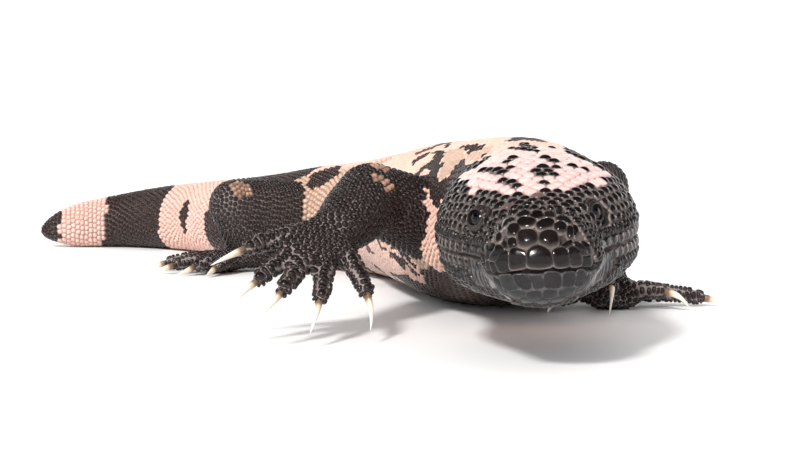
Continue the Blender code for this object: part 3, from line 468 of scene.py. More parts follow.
# The made-up pattern's length, the lean of the tail's bands, and how uneven and how fine edges waver
SADDLE_LENGTH, TAIL_LEAN, MARK_WAVER, WAVER_GRAIN = 40.0, 2.0, 1.1, 0.17
TAIL_BANDS = ((283.0, 335.0), (378.0, 414.0), (433.0, 480.0))
# The painted shade, dark brown, low on the flank and under the belly where the body lies near the floor: the
# turn beyond which it lies, by distance from the snout
BELLY_SHADE = ((95, 120, 150, 205), (122, 123, 121, 128))
# Spots of the tail: middle, turn, half length, half width in degrees, tone
TAIL_SPOTS = (
    (272.0, 38.0, 9.0, 16.0, "black"),
    (355.0, 80.0, 3.8, 24.0, "black"),
    (316.0, 79.0, 9.0, 20.0, "tan"),
    (300.0, 60.0, 6.0, 12.0, "brown"),
    (296.0, 97.0, 5.0, 9.0, "pink"),
    (322.0, -70.0, 7.0, 18.0, "tan"),
    (396.0, -50.0, 3.0, 12.0, "pink"),
    (302.0, -20.0, 5.0, 10.0, "tan"),
)
TRUNK_MARKS = (
    # the pale trunk before the hips
    ("cream", ((224, 36), (284, 36), (284, 112), (224, 112))),
    # stripes of the flank under the arm
    ("black", ((162, 86), (139, 88), (124, 97), (117.5, 105), (116, 114), (119, 121), (123, 112), (131, 104),
        (143, 97), (160, 92))),
    ("black", ((172, 93), (149, 99.5), (137, 107), (128, 116), (131, 119), (140, 111), (151, 103.5),
        (172, 97))),
)
# Markings picked on the photograph: tone, and the outline's places by part
PHOTO_MARKS = (
    # the pale crown, round its front edge and back over the nape
    ("pink", {
        "whole": ((472.5, 198), (472.5, 192), (472, 187), (470.5, 183.5), (465, 180.5), (458, 179),
            (460, 175.5), (465, 172.5), (470, 170.5), (475, 167.5), (480, 164.5), (481.2, 159), (484, 152),
            (490, 146), (500, 141), (520, 139), (545, 141.5), (560, 148), (575, 156), (590, 165),
            (602, 169), (609, 174)),
        "crown": ((1330, 405), (1250, 420), (1232, 460), (1280, 482), (1270, 515), (1200, 522), (1150, 490),
            (1100, 500), (1060, 483), (1010, 488), (960, 530), (900, 552), (860, 535), (800, 560),
            (760, 530), (700, 560), (650, 530), (600, 562), (540, 540), (510, 577), (430, 582), (370, 562),
            (340, 547), (250, 522), (170, 542), (110, 562)),
    }),
    # the neck, from above down
    ("black", {"neck": ((565, 215), (690, 190), (695, 225), (665, 270), (655, 310), (680, 335), (655, 370),
        (625, 395), (630, 480), (640, 510), (700, 480), (750, 430), (760, 370), (810, 330), (855, 285),
        (900, 312), (940, 325), (1040, 300), (1062, 290), (1050, 345), (1000, 372), (950, 400), (890, 432),
        (830, 455), (790, 500), (765, 590), (705, 635), (685, 690), (645, 700), (640, 730), (615, 830),
        (600, 790), (575, 730), (550, 660), (505, 570), (470, 545), (475, 490), (530, 450), (550, 400),
        (500, 385), (420, 430), (400, 420), (450, 370), (500, 330), (560, 300), (585, 245))}),
    ("black", {"neck": ((830, 178), (870, 150), (950, 138), (1000, 130), (1060, 140), (1100, 155),
        (1085, 182), (1030, 172), (1000, 202), (960, 217), (930, 262), (905, 267), (898, 245), (920, 215),
        (945, 188), (900, 178), (850, 190))}),
    ("black", {"neck": ((690, 150), (740, 118), (765, 135), (710, 170), (690, 190), (665, 185))}),
    # the back behind the shoulder
    ("black", {"neck": ((345, 335), (380, 288), (440, 248), (520, 222), (532, 242), (455, 282), (400, 322),
        (360, 348))}),
    ("black", {"neck": ((370, 455), (400, 420), (430, 398), (465, 410), (430, 442), (388, 468))}),
    ("maroon", {"neck": ((390, 228), (450, 198), (560, 163), (650, 128), (720, 98), (765, 103), (700, 130),
        (640, 152), (560, 182), (470, 217), (400, 243))}),
    # the nape's dark bar
    ("black", {"crown": ((400, 92), (470, 62), (560, 47), (640, 37), (700, 60), (775, 104), (740, 102),
        (680, 97), (600, 84), (520, 88), (450, 97))}),
    # behind the jaw
    ("black", {"flank": ((915, -30), (1100, -40), (1060, 130), (1030, 200), (1000, 290), (960, 200),
        (930, 120), (890, 50))}),
    # the black shoulder
    ("black", {"flank": ((540, -60), (815, -60), (815, 0), (830, 190), (880, 230), (900, 300), (880, 380),
        (860, 480), (850, 560), (820, 680), (815, 770), (850, 850), (825, 905), (740, 850), (680, 790),
        (600, 740), (500, 640), (450, 560), (400, 470), (380, 380))}),
    # streaks of the flank behind the arm
    ("black", {"flank": ((220, 550), (290, 560), (380, 620), (470, 680), (560, 760), (600, 830), (650, 930),
        (700, 990), (745, 1065), (700, 1030), (640, 965), (580, 935), (500, 845), (420, 765), (380, 705),
        (330, 605), (250, 592))}),
    ("maroon", {"flank": ((195, 570), (240, 640), (262, 720), (300, 795), (345, 822), (290, 835),
        (240, 745), (200, 645))}),
    ("maroon", {"flank": ((85, 740), (130, 800), (185, 868), (165, 885), (100, 835), (65, 780))}),
    ("maroon", {"flank": ((355, 850), (430, 895), (525, 1010), (470, 970), (400, 918))}),
    ("black", {"flank": ((850, 925), (885, 958), (945, 1035), (1005, 1085), (1080, 1115), (1175, 1135),
        (1175, 1180), (1080, 1160), (990, 1125), (918, 1065), (858, 975))}),
    ("black", {"flank": ((1060, 1030), (1100, 1008), (1155, 1050), (1135, 1082), (1080, 1062))}),
    # pale patches between them
    ("cream", {"flank": ((275, 505), (330, 430), (365, 460), (405, 540), (480, 612), (462, 665), (400, 605),
        (350, 555))}),
    ("cream", {"flank": ((605, 795), (660, 778), (705, 850), (785, 905), (865, 960), (905, 1062),
        (850, 1105), (780, 1045), (700, 945), (635, 865))}),
    ("cream", {"flank": ((225, 600), (300, 620), (350, 710), (410, 790), (390, 830), (330, 800),
        (270, 740))}),
    ("cream", {"neck": ((690, 230), (740, 190), (830, 180), (900, 190), (905, 240), (860, 290), (800, 335),
        (755, 370), (745, 430), (690, 475), (645, 500), (635, 410), (680, 360), (665, 290))}),
    ("cream", {"neck": ((900, 275), (950, 215), (1030, 180), (1100, 165), (1180, 140), (1200, 150),
        (1060, 285), (1000, 305), (930, 320))}),
    # brown beads before the crown
    ("tan", {"crown": ((510, 560), (560, 545), (640, 560), (720, 545), (760, 560), (700, 590), (600, 600),
        (520, 590))}),
    ("tan", {"crown": ((400, 680), (450, 655), (500, 670), (490, 700), (420, 705))}),
)
# Black spots of the pale crown, picked on the part "crown"
CROWN_SPOTS = (
    ((325, 460), (360, 435), (400, 440), (410, 415), (460, 405), (500, 425), (495, 450), (515, 470),
        (500, 510), (440, 515), (400, 490), (330, 475)),
    ((175, 365), (210, 340), (240, 345), (290, 350), (330, 365), (370, 380), (360, 387), (310, 378),
        (280, 378), (230, 390), (190, 382)),
    ((290, 330), (330, 285), (380, 285), (430, 250), (470, 235), (515, 235), (500, 260), (450, 280),
        (400, 310), (330, 317)),
    ((425, 330), (460, 315), (495, 330), (540, 340), (570, 355), (560, 378), (520, 373), (480, 362),
        (450, 348)),
    ((578, 362), (620, 333), (670, 333), (687, 357), (660, 378), (600, 383)),
    ((508, 400), (550, 386), (590, 393), (612, 412), (560, 418), (518, 414)),
    ((692, 330), (730, 313), (762, 330), (792, 350), (802, 400), (792, 442), (740, 438), (718, 410),
        (698, 380)),
    ((768, 330), (820, 313), (864, 330), (852, 348), (800, 353)),
    ((818, 402), (860, 383), (912, 405), (882, 418), (830, 415)),
    ((638, 460), (690, 468), (730, 463), (760, 443), (812, 448), (802, 478), (760, 483), (700, 493),
        (658, 488)),
    ((948, 417), (1000, 408), (1052, 433), (1064, 448), (990, 443)),
    ((698, 257), (740, 238), (800, 253), (870, 253), (922, 275), (902, 288), (850, 293), (790, 278),
        (730, 268)),
    ((998, 322), (1040, 303), (1064, 325), (1020, 338)),
    ((1058, 337), (1100, 318), (1153, 345), (1142, 363), (1090, 363)),
    ((1178, 417), (1220, 398), (1264, 420), (1242, 463), (1200, 443)),
    ((533, 152), (550, 108), (600, 98), (640, 128), (700, 148), (718, 180), (692, 213), (620, 208),
        (578, 183)),
    ((438, 157), (490, 143), (532, 153), (502, 173), (450, 168)),
    ((713, 152), (740, 133), (764, 150), (730, 158)),
    ((788, 157), (830, 148), (894, 165), (860, 171), (800, 165)),
    ((908, 180), (950, 193), (1004, 232), (985, 228), (930, 208)),
    ((183, 245), (205, 203), (232, 235), (283, 223), (262, 248), (220, 258), (188, 273)),
    ((128, 522), (170, 503), (194, 520), (150, 533)),
    ((98, 457), (130, 448), (144, 465), (110, 468)),
    ((183, 432), (230, 423), (244, 436), (195, 443)),
)
# Tan scales of the limbs: place and reach, and how rare odd ones are elsewhere
LIMB_SPOTS = (
    (-20.5, -95.0, 41.7, 2.4),
    (-21.3, -101.0, 38.9, 2.4),
    (-18.8, -101.0, 37.4, 2.4),
    (-20.0, -103.0, 32.3, 2.4),
    (-16.5, -92.0, 34.3, 3.0),
    (46.0, -40.0, 40.0, 4.0),
    (-70.0, 36.0, 30.0, 4.0),
)
ODD_BEADS = 0.72
# Linear RGB: a bead, its rim, and the skin round it
TONES = {
    "black": ((0.010, 0.0072, 0.0070), (0.085, 0.066, 0.060), (0.125, 0.100, 0.090)),
    "head": ((0.0100, 0.0070, 0.0067), (0.42, 0.35, 0.325), (0.16, 0.134, 0.125)),
    "coal": ((0.019, 0.0105, 0.0095), (0.095, 0.062, 0.056), (0.13, 0.092, 0.083)),
    "limb": ((0.016, 0.0108, 0.0102), (0.075, 0.059, 0.056), (0.25, 0.205, 0.196)),
    # painted shade: the dark brown under the belly and low on the flank, near the floor
    "umber": ((0.030, 0.015, 0.011), (0.05, 0.028, 0.022), (0.06, 0.034, 0.027)),
    "plate": ((0.010, 0.0072, 0.0070), (0.36, 0.295, 0.27), (0.10, 0.082, 0.075)),
    "lip": ((0.013, 0.0098, 0.0093), (0.18, 0.148, 0.138), (0.16, 0.13, 0.12)),
    "jaw": ((0.0145, 0.0135, 0.015), (0.11, 0.10, 0.103), (0.11, 0.10, 0.103)),
    "pink": ((0.86, 0.545, 0.45), (0.70, 0.40, 0.32), (0.50, 0.27, 0.21)),
    "cream": ((0.56, 0.39, 0.30), (0.60, 0.39, 0.28), (0.40, 0.25, 0.18)),
    "maroon": ((0.10, 0.050, 0.045), (0.14, 0.08, 0.075), (0.16, 0.10, 0.09)),
    "brown": ((0.13, 0.085, 0.075), (0.10, 0.07, 0.062), (0.12, 0.09, 0.08)),
    "tan": ((0.33, 0.20, 0.145), (0.20, 0.12, 0.09), (0.15, 0.10, 0.08)),
}
# Where the head's own black gives way to that of the body
HEAD_COAT_END = 72.0
# Pale beads of the crown lie flatter and closer than the rest
CROWN_FLAT, CROWN_LOW = 0.85, 0.72
CROWN_PINK, CROWN_RIM = (0.74, 0.53, 0.505), (0.70, 0.46, 0.435)
# The pink by distance from the snout, and low on the flank
TAIL_PINK, FLANK_PINK = (0.73, 0.48, 0.41), (0.60, 0.42, 0.385)
CROWN_BY_PLACE, TAIL_PINK_BY_PLACE = ((50, 75), (1, 0)), ((250, 330), (0, 1))
FLANK_BY_PLACE, FLANK_BY_TURN = ((135, 165, 240, 290), (0, 1, 1, 0)), ((60, 95), (0, 1))
# How much lighter or darker single beads are, and how dark a pink bead's rim and ground are
PALE_LIGHT, DARK_LIGHT = (0.93, 1.05), (0.7, 1.35)
PINK_RIM, PINK_GROUND, CROWN_GROUND = 0.86, 0.62, 0.9
# Painted shade: the near-black skin of the bare hollows, that is the mouth's groove, the eye sockets, the
# nostrils and the ears
HOLLOW_SHADE = (0.010, 0.008, 0.008)
IRIS_EDGES = (0.0, 0.36, 0.42, 0.66, 0.74, 3.2)
IRIS_TONES = (
    (0.002, 0.002, 0.003),
    (0.002, 0.002, 0.003),
    (0.012, 0.010, 0.012),
    (0.010, 0.009, 0.012),
    (0.004, 0.004, 0.006),
    (0.004, 0.004, 0.006),
)
# Claws: how far their roots reach back, how slim they are, their rings and sides, and tones along them
CLAW_ROOT, CLAW_SLIM = 1.6, 0.76
CLAW_RINGS, CLAW_SIDES = 30, 20
CLAW_EDGES = (0.0, 0.10, 0.3, 1.0)
CLAW_TONES = ((0.20, 0.13, 0.08), (0.60, 0.47, 0.34), (0.82, 0.74, 0.61), (0.90, 0.86, 0.77))

# Light and floor
WORLD_LIGHT = 0.80
KEY_LIGHT, KEY_SOFTNESS, KEY_FROM = 3.2, math.radians(9.0), (-0.38, -0.86, 0.72)
KEY_TONE, FLOOR_TONES = (1.0, 0.985, 0.96), ((0.94, 0.94, 0.945, 1.0), (0.97, 0.97, 0.97, 1.0))
# The floor, in metres: its inner rings, where the bend to the wall starts, the bend and the wall's top
FLOOR_RINGS, FLOOR_REACH, WALL_BEND, WALL_TOP = (0.3, 0.8, 1.6), 3.4, 0.8, 1.9
FLOOR_SIDES, FLOOR_ROUGHNESS, FLOOR_GRAIN = 96, 0.6, 3.0

# Materials: roughness and its spread, grain, relief, speckle, specular level
MATERIALS = {
    "bead": (0.17, 0.05, 900.0, 0.2, 0.15, 0.33),
    "plate": (0.15, 0.05, 500.0, 0.1, 0.22, 0.34),
    "skin": (0.55, 0.10, 700.0, 0.6, 0.22, 0.3),
    "horn": (0.30, 0.06, 500.0, 0.15, 0.08, 0.5),
    "eye": (0.07, 0.02, 2500.0, 0.02, 0.25, 0.3),
}
CLOUD_RANGE, CLOUD_DETAIL = (0.3, 0.7), 6.0
RELIEF_GRAIN, RELIEF_DETAIL, RELIEF_DEPTH = 5, 4.0, 0.0002
RANDOM_SEED = 11


def full_turn(count):
    """Angles spread evenly round a circle."""
    return np.linspace(0, 2 * math.pi, count, endpoint=False)


def from_back(degrees):
    """An angle round the body as a turn from the middle of the back, from -180 to 180 degrees."""
    return (degrees - 90 + 180) % 360 - 180


def mix(first, second, share):
    return first * (1 - share) + second * share


def kd_tree(places):
    tree = KDTree(len(places))
    for k, place in enumerate(places):
        tree.insert(place, k)
    tree.balance()
    return tree


def smooth_value(knots, values, at):
    """A smooth curve through the knots that never swings past their values."""
    knots, values, at = (np.asarray(a, float) for a in (knots, values, at))
    steps = np.diff(knots)
    slopes = np.diff(values) / steps
    tangents = np.zeros(len(knots))
    rising = slopes[:-1] * slopes[1:] > 0
    harmonic = 2 * slopes[:-1] * slopes[1:] / np.where(rising, slopes[:-1] + slopes[1:], 1)
    tangents[1:-1] = np.where(rising, harmonic, 0)
    tangents[0], tangents[-1] = slopes[0], slopes[-1]
    k = np.clip(np.searchsorted(knots, at, side="right") - 1, 0, len(steps) - 1)
    t = np.clip((at - knots[k]) / steps[k], 0, 1)
    bend = t * t * (3 - 2 * t)
    start = t * (1 - t) ** 2 * tangents[k] * steps[k]
    end = t * t * (t - 1) * tangents[k + 1] * steps[k]
    return values[k] * (1 - bend) + values[k + 1] * bend + start + end


def spine_curve(samples=2001):
    """The spine's plan as a smooth line: points, and their distance along it."""
    plan = np.array(SPINE_PLAN)
    chords = np.concatenate([[0], np.cumsum(np.linalg.norm(np.diff(plan, axis=0), axis=1))])
    tangents = np.gradient(plan, chords, axis=0)
    at = np.linspace(0, chords[-1], samples)
    k = np.clip(np.searchsorted(chords, at, side="right") - 1, 0, len(plan) - 2)
    step = (chords[k + 1] - chords[k])[:, None]
    t = ((at - chords[k]) / (chords[k + 1] - chords[k]))[:, None]
    line = (
        plan[k] * (2 * t**3 - 3 * t**2 + 1)
        + plan[k + 1] * (3 * t**2 - 2 * t**3)
        + tangents[k] * step * (t**3 - 2 * t**2 + t)
        + tangents[k + 1] * step * (t**3 - t**2)
    )
    along = np.concatenate([[0], np.cumsum(np.linalg.norm(np.diff(line, axis=0), axis=1))])
    return line, along


SPINE, SPINE_ALONG = spine_curve()
LENGTH = SPINE_ALONG[-1]


def spine_at(s):
    """Plan position on the spine and the unit direction towards the tail, at distance s."""
    place = np.stack([np.interp(s, SPINE_ALONG, SPINE[:, k]) for k in (0, 1)], axis=-1)
    reach = 3.0
    ahead = np.stack([np.interp(s + reach, SPINE_ALONG, SPINE[:, k]) for k in (0, 1)], axis=-1)
    behind = np.stack([np.interp(s - reach, SPINE_ALONG, SPINE[:, k]) for k in (0, 1)], axis=-1)
    run = ahead - behind
    return place, run / np.linalg.norm(run, axis=-1, keepdims=True)


def roundness(s):
    """How much of the section is left at the rounded snout and tail tip."""
    snout = np.clip(1 - s / SNOUT_ROUND, 0, 1)
    tail = np.clip(1 - (LENGTH - s) / TAIL_ROUND, 0, 1)
    return np.sqrt((1 - snout**2) * (1 - tail**2))


def head_roll(s):
    """The head's tilt about its own axis, which the neck takes up."""
    t = np.clip((ROLL_GONE_BY - s) / (ROLL_GONE_BY - ROLL_FULL_TO), 0, 1)
    return HEAD_ROLL * t * t * (3 - 2 * t)


def place_on_body(s, x, z):
    """World points of a place beside the spine: s along it, x to the left and z up, before the roll."""
    place, run = spine_at(s)
    roll = head_roll(s)
    side = x * np.cos(roll) - (z - ROLL_AXIS_HEIGHT) * np.sin(roll)
    up = x * np.sin(roll) + (z - ROLL_AXIS_HEIGHT) * np.cos(roll) + ROLL_AXIS_HEIGHT
    left = np.stack([run[..., 1], -run[..., 0]], axis=-1)
    plan = place + left * side[..., None]
    return np.concatenate([plan, up[..., None]], axis=-1)


def section_at(s):
    """Half width, underside, widest line, back and both squarenesses at distance s."""
    table = np.array(SECTIONS)
    return [smooth_value(table[:, 0], table[:, k], s) for k in range(1, 7)]


def section_point(s, angle, grow=0.0):
    """Where the surface is in its own section: x to the left and z up, before the roll."""
    half, low, waist, high, square_up, square_down = section_at(s)
    cosine, sine = np.cos(angle), np.sin(angle)
    height = np.where(sine >= 0, high - waist, waist - low)
    power = np.where(sine >= 0, square_up, square_down)
    reach = ((np.abs(cosine) / half) ** power + (np.abs(sine) / height) ** power) ** (-1 / power)
    reach = reach * roundness(s)
    x, z = reach * cosine, waist + reach * sine
    for form_s, form_x, form_z, radius, stand in HEAD_FORMS:
        away = (s - form_s) ** 2 + (np.abs(x) - form_x) ** 2 + (z - form_z) ** 2
        push = stand * np.exp(-away / radius**2)
        x, z = x + push * cosine, z + push * sine
    return x + grow * cosine, z + grow * sine


def body_surface(s, angle, grow=0.0):
    """Points of the body's surface. The angle runs from the left flank over the back."""
    s, angle = np.broadcast_arrays(np.asarray(s, float), np.asarray(angle, float))
    points = place_on_body(s, *section_point(s, angle, grow))
    points[..., 2] = np.maximum(points[..., 2], 0.0)
    return points


def angle_at_height(s, height, side):
    """The angle at which the section at s reaches a height on one side, before the roll."""
    angles = np.radians(np.linspace(-80, 80, 161))
    heights = section_point(np.full(161, s), angles)[1]
    angle = float(np.interp(height, heights, angles))
    return angle if side > 0 else math.pi - angle


def place_seen_from_front(x, z):
    """Distance from the snout and angle of the surface point that shows at x and z from the front."""
    stations = np.linspace(0.05, 30.0, 300)
    waist = section_at(stations)[2]
    angles = np.arctan2(z - waist, x)
    surface_x, surface_z = section_point(stations, angles)
    beyond = np.hypot(surface_x, surface_z - waist) - np.hypot(x, z - waist)
    first = int(np.argmax(beyond > 0))
    return float(stations[first]), float(angles[first])


def body_seen():
    """The body's surface as a mesh to look at: distances from the snout, angles, points and tree."""
    bends = np.radians(np.arange(2, 90, 2))
    trunk = np.arange(SNOUT_ROUND, LENGTH - 1, 1.0)
    stations = np.concatenate([SNOUT_ROUND * (1 - np.cos(bends)), trunk])
    angles = np.radians(np.arange(0, 360, 2.0))
    points = body_surface(stations[:, None], angles[None, :])
    faces = grid_faces(len(stations), len(angles)).tolist()
    tree = BVHTree.FromPolygons([Vector(p) for p in points.reshape(-1, 3)], faces)
    return stations, angles, points, tree


def place_at_pixel(px, py):
    """Distance from the snout and angle in degrees where the body shows at a pixel, or None beside it."""
    stations, angles, points, tree = BODY_SEEN
    side, ahead, up = (px - FRAME_MIDDLE[0]) / FOCAL_PIXELS, 1.0, (FRAME_MIDDLE[1] - py) / FOCAL_PIXELS
    cosine, sine = math.cos(CAMERA_DIP), math.sin(CAMERA_DIP)
    look = Vector((side, ahead * cosine + up * sine, -ahead * sine + up * cosine))
    spot, _, face, _ = tree.ray_cast(Vector(CAMERA_PLACE), look.normalized())
    if spot is None:
        return None
    ring, turn = divmod(face, len(angles))
    corners = points[ring : ring + 2, [turn, (turn + 1) % len(angles)]].reshape(-1, 3)
    weights = 1 / (np.linalg.norm(corners - np.array(spot), axis=1) + 1e-6) ** 2
    along = np.repeat(stations[ring : ring + 2], 2)
    turns = np.tile((angles[turn], angles[turn] + angles[1]), 2)
    return (along * weights).sum() / weights.sum(), math.degrees((turns * weights).sum() / weights.sum())


def picked_outline(picks):
    """An outline picked on the photograph, as places on the body. Those beside it move in to meet it."""
    pixels = []
    for part, places in picks.items():
        left, top, zoom = PARTS[part]
        pixels += [(left + x / zoom, top + y / zoom) for x, y in places]
    middle_x, middle_y = np.mean(pixels, axis=0)
    found = []
    for px, py in pixels:
        steps = ((px + (middle_x - px) * t, py + (middle_y - py) * t) for t in np.linspace(0, 0.9, 46))
        found.append(next(place for place in (place_at_pixel(*step) for step in steps) if place))
    return found


def front_outline(picks):
    """A picked outline seen from the front, in tenths of a millimetre: from the middle, from the floor."""
    found = []
    for s, degrees in picked_outline(picks):
        x, z = section_point(np.array(s), np.array(math.radians(degrees)))
        found.append((max(round(float(x), 1), FACE_EDGE), round(float(z), 1)))
    return found


def body_outline(picks):
    """A picked outline in whole millimetres from the snout and whole degrees from the middle of the back."""
    return [(round(s), round(from_back(degrees))) for s, degrees in picked_outline(picks)]


def unit(vectors):
    vectors = np.asarray(vectors, float)
    return vectors / np.maximum(np.linalg.norm(vectors, axis=-1, keepdims=True), 1e-9)


def oval(long, wide, direction):
    """How far an oval reaches in a direction, measured from its long axis."""
    return 1 / np.sqrt((np.cos(direction) / long) ** 2 + (np.sin(direction) / wide) ** 2)


def tube_rings(path, widths, heights, up, sides):
    """Oval rings along a path, each square to it, the width across and the height along up."""
    path = np.asarray(path, float)
    run = unit(np.gradient(path, axis=0))
    across = unit(np.cross(run, np.asarray(up, float)))
    over = np.cross(across, run)
    turns = full_turn(sides)
    sideways = np.cos(turns)[None, :, None] * (across * np.asarray(widths)[:, None])[:, None]
    upwards = np.sin(turns)[None, :, None] * (over * np.asarray(heights)[:, None])[:, None]
    return path[:, None] + sideways + upwards


def grid_faces(rings, sides, first=0):
    """Quads over rings of points, counted from first."""
    ring, side = np.meshgrid(np.arange(rings - 1), np.arange(sides), indexing="ij")
    a = first + ring * sides + side
    b = first + ring * sides + (side + 1) % sides
    return np.stack([a, b, b + sides, a + sides], axis=-1).reshape(-1, 4)


def closed_tube(rings, start, end):
    """Points and faces of a tube closed on a point at both ends."""
    count, sides = rings.shape[:2]
    points = np.concatenate([rings.reshape(-1, 3), [start, end]])
    faces = [tuple(face) for face in grid_faces(count, sides)]
    last = (count - 1) * sides
    for k in range(sides):
        n = (k + 1) % sides
        faces.append((n, k, count * sides))
        faces.append((last + k, last + n, count * sides + 1))
    return points, faces


BODY_SEEN = body_seen()


# The flesh under the beads

def coat_depth(s):
    """How deep the skin lies under the solids' surface, which the beads make up."""
    return np.interp(s, COAT_CHANGE, (HEAD_COAT, BODY_COAT))


def body_rings(stations, sides):
    stations = np.asarray(stations, float)
    angles = full_turn(sides)
    rings = body_surface(stations[:, None], angles[None, :], -coat_depth(stations)[:, None])
    rings[..., 2] = np.maximum(rings[..., 2], SOLE_COAT)
    return rings


def capsule_path(start, end, radii, depth, spacing):
    """Stations of a limb's length with its round ends: places and radii."""
    start, end = np.array(start), np.array(end)
    length = float(np.linalg.norm(end - start))
    reach = (radii[0] * ROUND_END, radii[2] * ROUND_END)
    stations = np.arange(-reach[0], length + reach[1], spacing)
    sizes = smooth_value((0.0, length / 2, length), radii, np.clip(stations, 0, length))
    beyond = np.clip(-stations / radii[0], 0, 1) + np.clip((stations - length) / radii[2], 0, 1)
    sizes = sizes * np.sqrt(1 - beyond**2)
    run = (end - start) / length
    return start + stations[:, None] * run, np.maximum(sizes - depth, 0.4)


def level_up(start, end):
    """An up vector that isn't along the length."""
    return (0.0, 0.0, 1.0) if abs(unit(np.subtract(end, start))[2]) < 0.85 else (0.0, 1.0, 0.0)


def palm_path(leg, plan, spacing):
    wrist, knuckles = np.array(leg["joints"][2]), np.array(plan["knuckles"])
    length = float(np.linalg.norm(knuckles - wrist))
    stations = np.arange(-WRIST_LAP, length + PALM_NOSE, spacing)
    ends = (0, length, length + PALM_NOSE)
    widths = np.interp(stations, ends, (PALM_WRIST[0], PALM_KNUCKLES[0], PALM_END[0])) - LIMB_COAT
    heights = np.interp(stations, ends, (PALM_WRIST[1], PALM_KNUCKLES[1], PALM_END[1])) - LIMB_COAT
    path = wrist + stations[:, None] * (knuckles - wrist) / length
    return path, widths, heights


def toe_path(leg, plan, knuckle, end, spacing):
    """A toe from its root in the palm to its round end: places and radii."""
    middle = (np.array(leg["joints"][2]) + np.array(plan["knuckles"])) / 2
    root = np.array(knuckle) * (1 - TOE_ROOT) + middle * TOE_ROOT
    end, up = np.array(end), np.array(plan["back_of_foot"])
    count = max(6, int(np.linalg.norm(end - root) / spacing))
    t = np.linspace(0, 1, count)
    path = root + t[:, None] * (end - root) + up * (TOE_ARCH * 4 * t * (1 - t))[:, None]
    sizes = smooth_value((0.0, 0.5, 1.0), TOE_RADII, t) - TOE_COAT
    left = (1 - t) * np.linalg.norm(end - root)
    sizes *= np.sqrt(1 - np.clip(1 - left / TOE_TIP, 0, 1) ** 2 * 0.9)
    return path, sizes


def limb_tubes(spacing, sides):
    """Every tube of the four legs: its name, kind, rings and the way it runs."""
    tubes = []
    for name, leg in LEGS.items():
        plan = FEET[name]
        root, middle, end = leg["joints"]
        for kind, start, stop in (("upper", root, middle), ("lower", middle, end)):
            path, sizes = capsule_path(start, stop, leg[kind], LIMB_COAT, spacing[kind])
            tubes.append((name, kind, path, tube_rings(path, sizes, sizes, level_up(start, stop), sides)))
        up = plan["back_of_foot"]
        path, widths, heights = palm_path(leg, plan, spacing["palm"])
        tubes.append((name, "palm", path, tube_rings(path, widths, heights, up, sides)))
        for knuckle, toe_end, _ in plan["toes"]:
            path, sizes = toe_path(leg, plan, knuckle, toe_end, spacing["toe"])
            tubes.append((name, "toe", path, tube_rings(path, sizes, sizes, up, sides)))
    return tubes


def flesh_points():
    """The body and the legs as closed tubes that reach into one another."""
    turns = np.radians(np.arange(6, 90, 6))
    snout = SNOUT_ROUND * (1 - np.cos(turns))
    tail = LENGTH - TAIL_ROUND * (1 - np.cos(turns[::-1]))
    stations = np.concatenate([snout, np.arange(SNOUT_ROUND, LENGTH - TAIL_ROUND, 1.0), tail])
    rings = body_rings(stations, 150)
    ends = body_surface(np.array((0.0, LENGTH)), np.zeros(2))
    ends += ((0, coat_depth(0), 0), (0, 0, SOLE_COAT))
    shells = [closed_tube(rings, *ends)]
    for _, _, path, rings in limb_tubes({"upper": 1.0, "lower": 1.0, "palm": 1.0, "toe": 0.8}, 28):
        rings[..., 2] = np.maximum(rings[..., 2], SOLE_COAT)
        shells.append(closed_tube(rings, path[0], path[-1]))
    points, faces = [], []
    for shell_points, shell_faces in shells:
        first = sum(len(p) for p in points)
        points.append(shell_points)
        faces += [tuple(int(k) + first for k in face) for face in shell_faces]
    return np.concatenate(points), faces


def merged_skin():
    """One closed skin round all the flesh: points, faces and edges."""
    points, faces = flesh_points()
    mesh = bpy.data.meshes.new("flesh")
    mesh.from_pydata(points.tolist(), [], faces)
    flesh = bpy.data.objects.new("flesh", mesh)
    bpy.context.scene.collection.objects.link(flesh)
    remesh = flesh.modifiers.new("union", "REMESH")
    remesh.mode = "VOXEL"
    remesh.voxel_size = SKIN_VOXEL
    graph = bpy.context.evaluated_depsgraph_get()
    work = bmesh.new()
    work.from_mesh(flesh.evaluated_get(graph).to_mesh())
    bpy.data.objects.remove(flesh, do_unlink=True)
    smooth(work, SMOOTH_TURNS)
    head = [e for e in work.edges if is_on_head(e.verts[0].co) and is_on_head(e.verts[1].co)]
    bmesh.ops.subdivide_edges(work, edges=head, cuts=1, use_grid_fill=True)
    bmesh.ops.triangulate(work, faces=[f for f in work.faces if len(f.verts) > 4])
    smooth(work, FINE_SMOOTH_TURNS)
    work.normal_update()
    return work


def smooth(work, turns):
    for _ in range(turns):
        axes = {"use_axis_x": True, "use_axis_y": True, "use_axis_z": True}
        bmesh.ops.smooth_vert(work, verts=work.verts, factor=0.5, **axes)


def is_on_head(place):
    return place.y < HEAD_BACK_Y and place.x > HEAD_RIGHT_X


def on_head(points):
    """Distance from the snout and height of points near the head, before its roll."""
    near = SPINE_ALONG < 110
    line, along = SPINE[near], SPINE_ALONG[near]
    nearest = np.array([np.argmin(((line - p[:2]) ** 2).sum(-1)) for p in points])
    place, run = spine_at(along[nearest])
    left = np.stack([run[:, 1], -run[:, 0]], axis=-1)
    beyond = ((points[:, :2] - place) * run).sum(-1)
    s = along[nearest] + np.where(nearest == 0, beyond, 0)
    side = ((points[:, :2] - place) * left).sum(-1)
    roll = head_roll(s)
    up = points[:, 2] - ROLL_AXIS_HEIGHT
    return s, -side * np.sin(roll) + up * np.cos(roll) + ROLL_AXIS_HEIGHT


def mouth_height(s):
    line = np.array(MOUTH_LINE)
    return np.interp(s, line[:, 0], line[:, 1])


def eyes():
    """World places of the eyes. The head is turned a little, so they don't stand evenly."""
    for side, sign, (s, x, z) in EYES:
        yield side, sign, place_on_body(np.array(s), np.array(x), np.array(z))


def eye_frame(sign):
    look = unit((EYE_LOOK[0] * sign, EYE_LOOK[1], EYE_LOOK[2]))
    across = unit(np.cross(look, (0, 0, 1.0)))
    return look, across, np.cross(across, look)


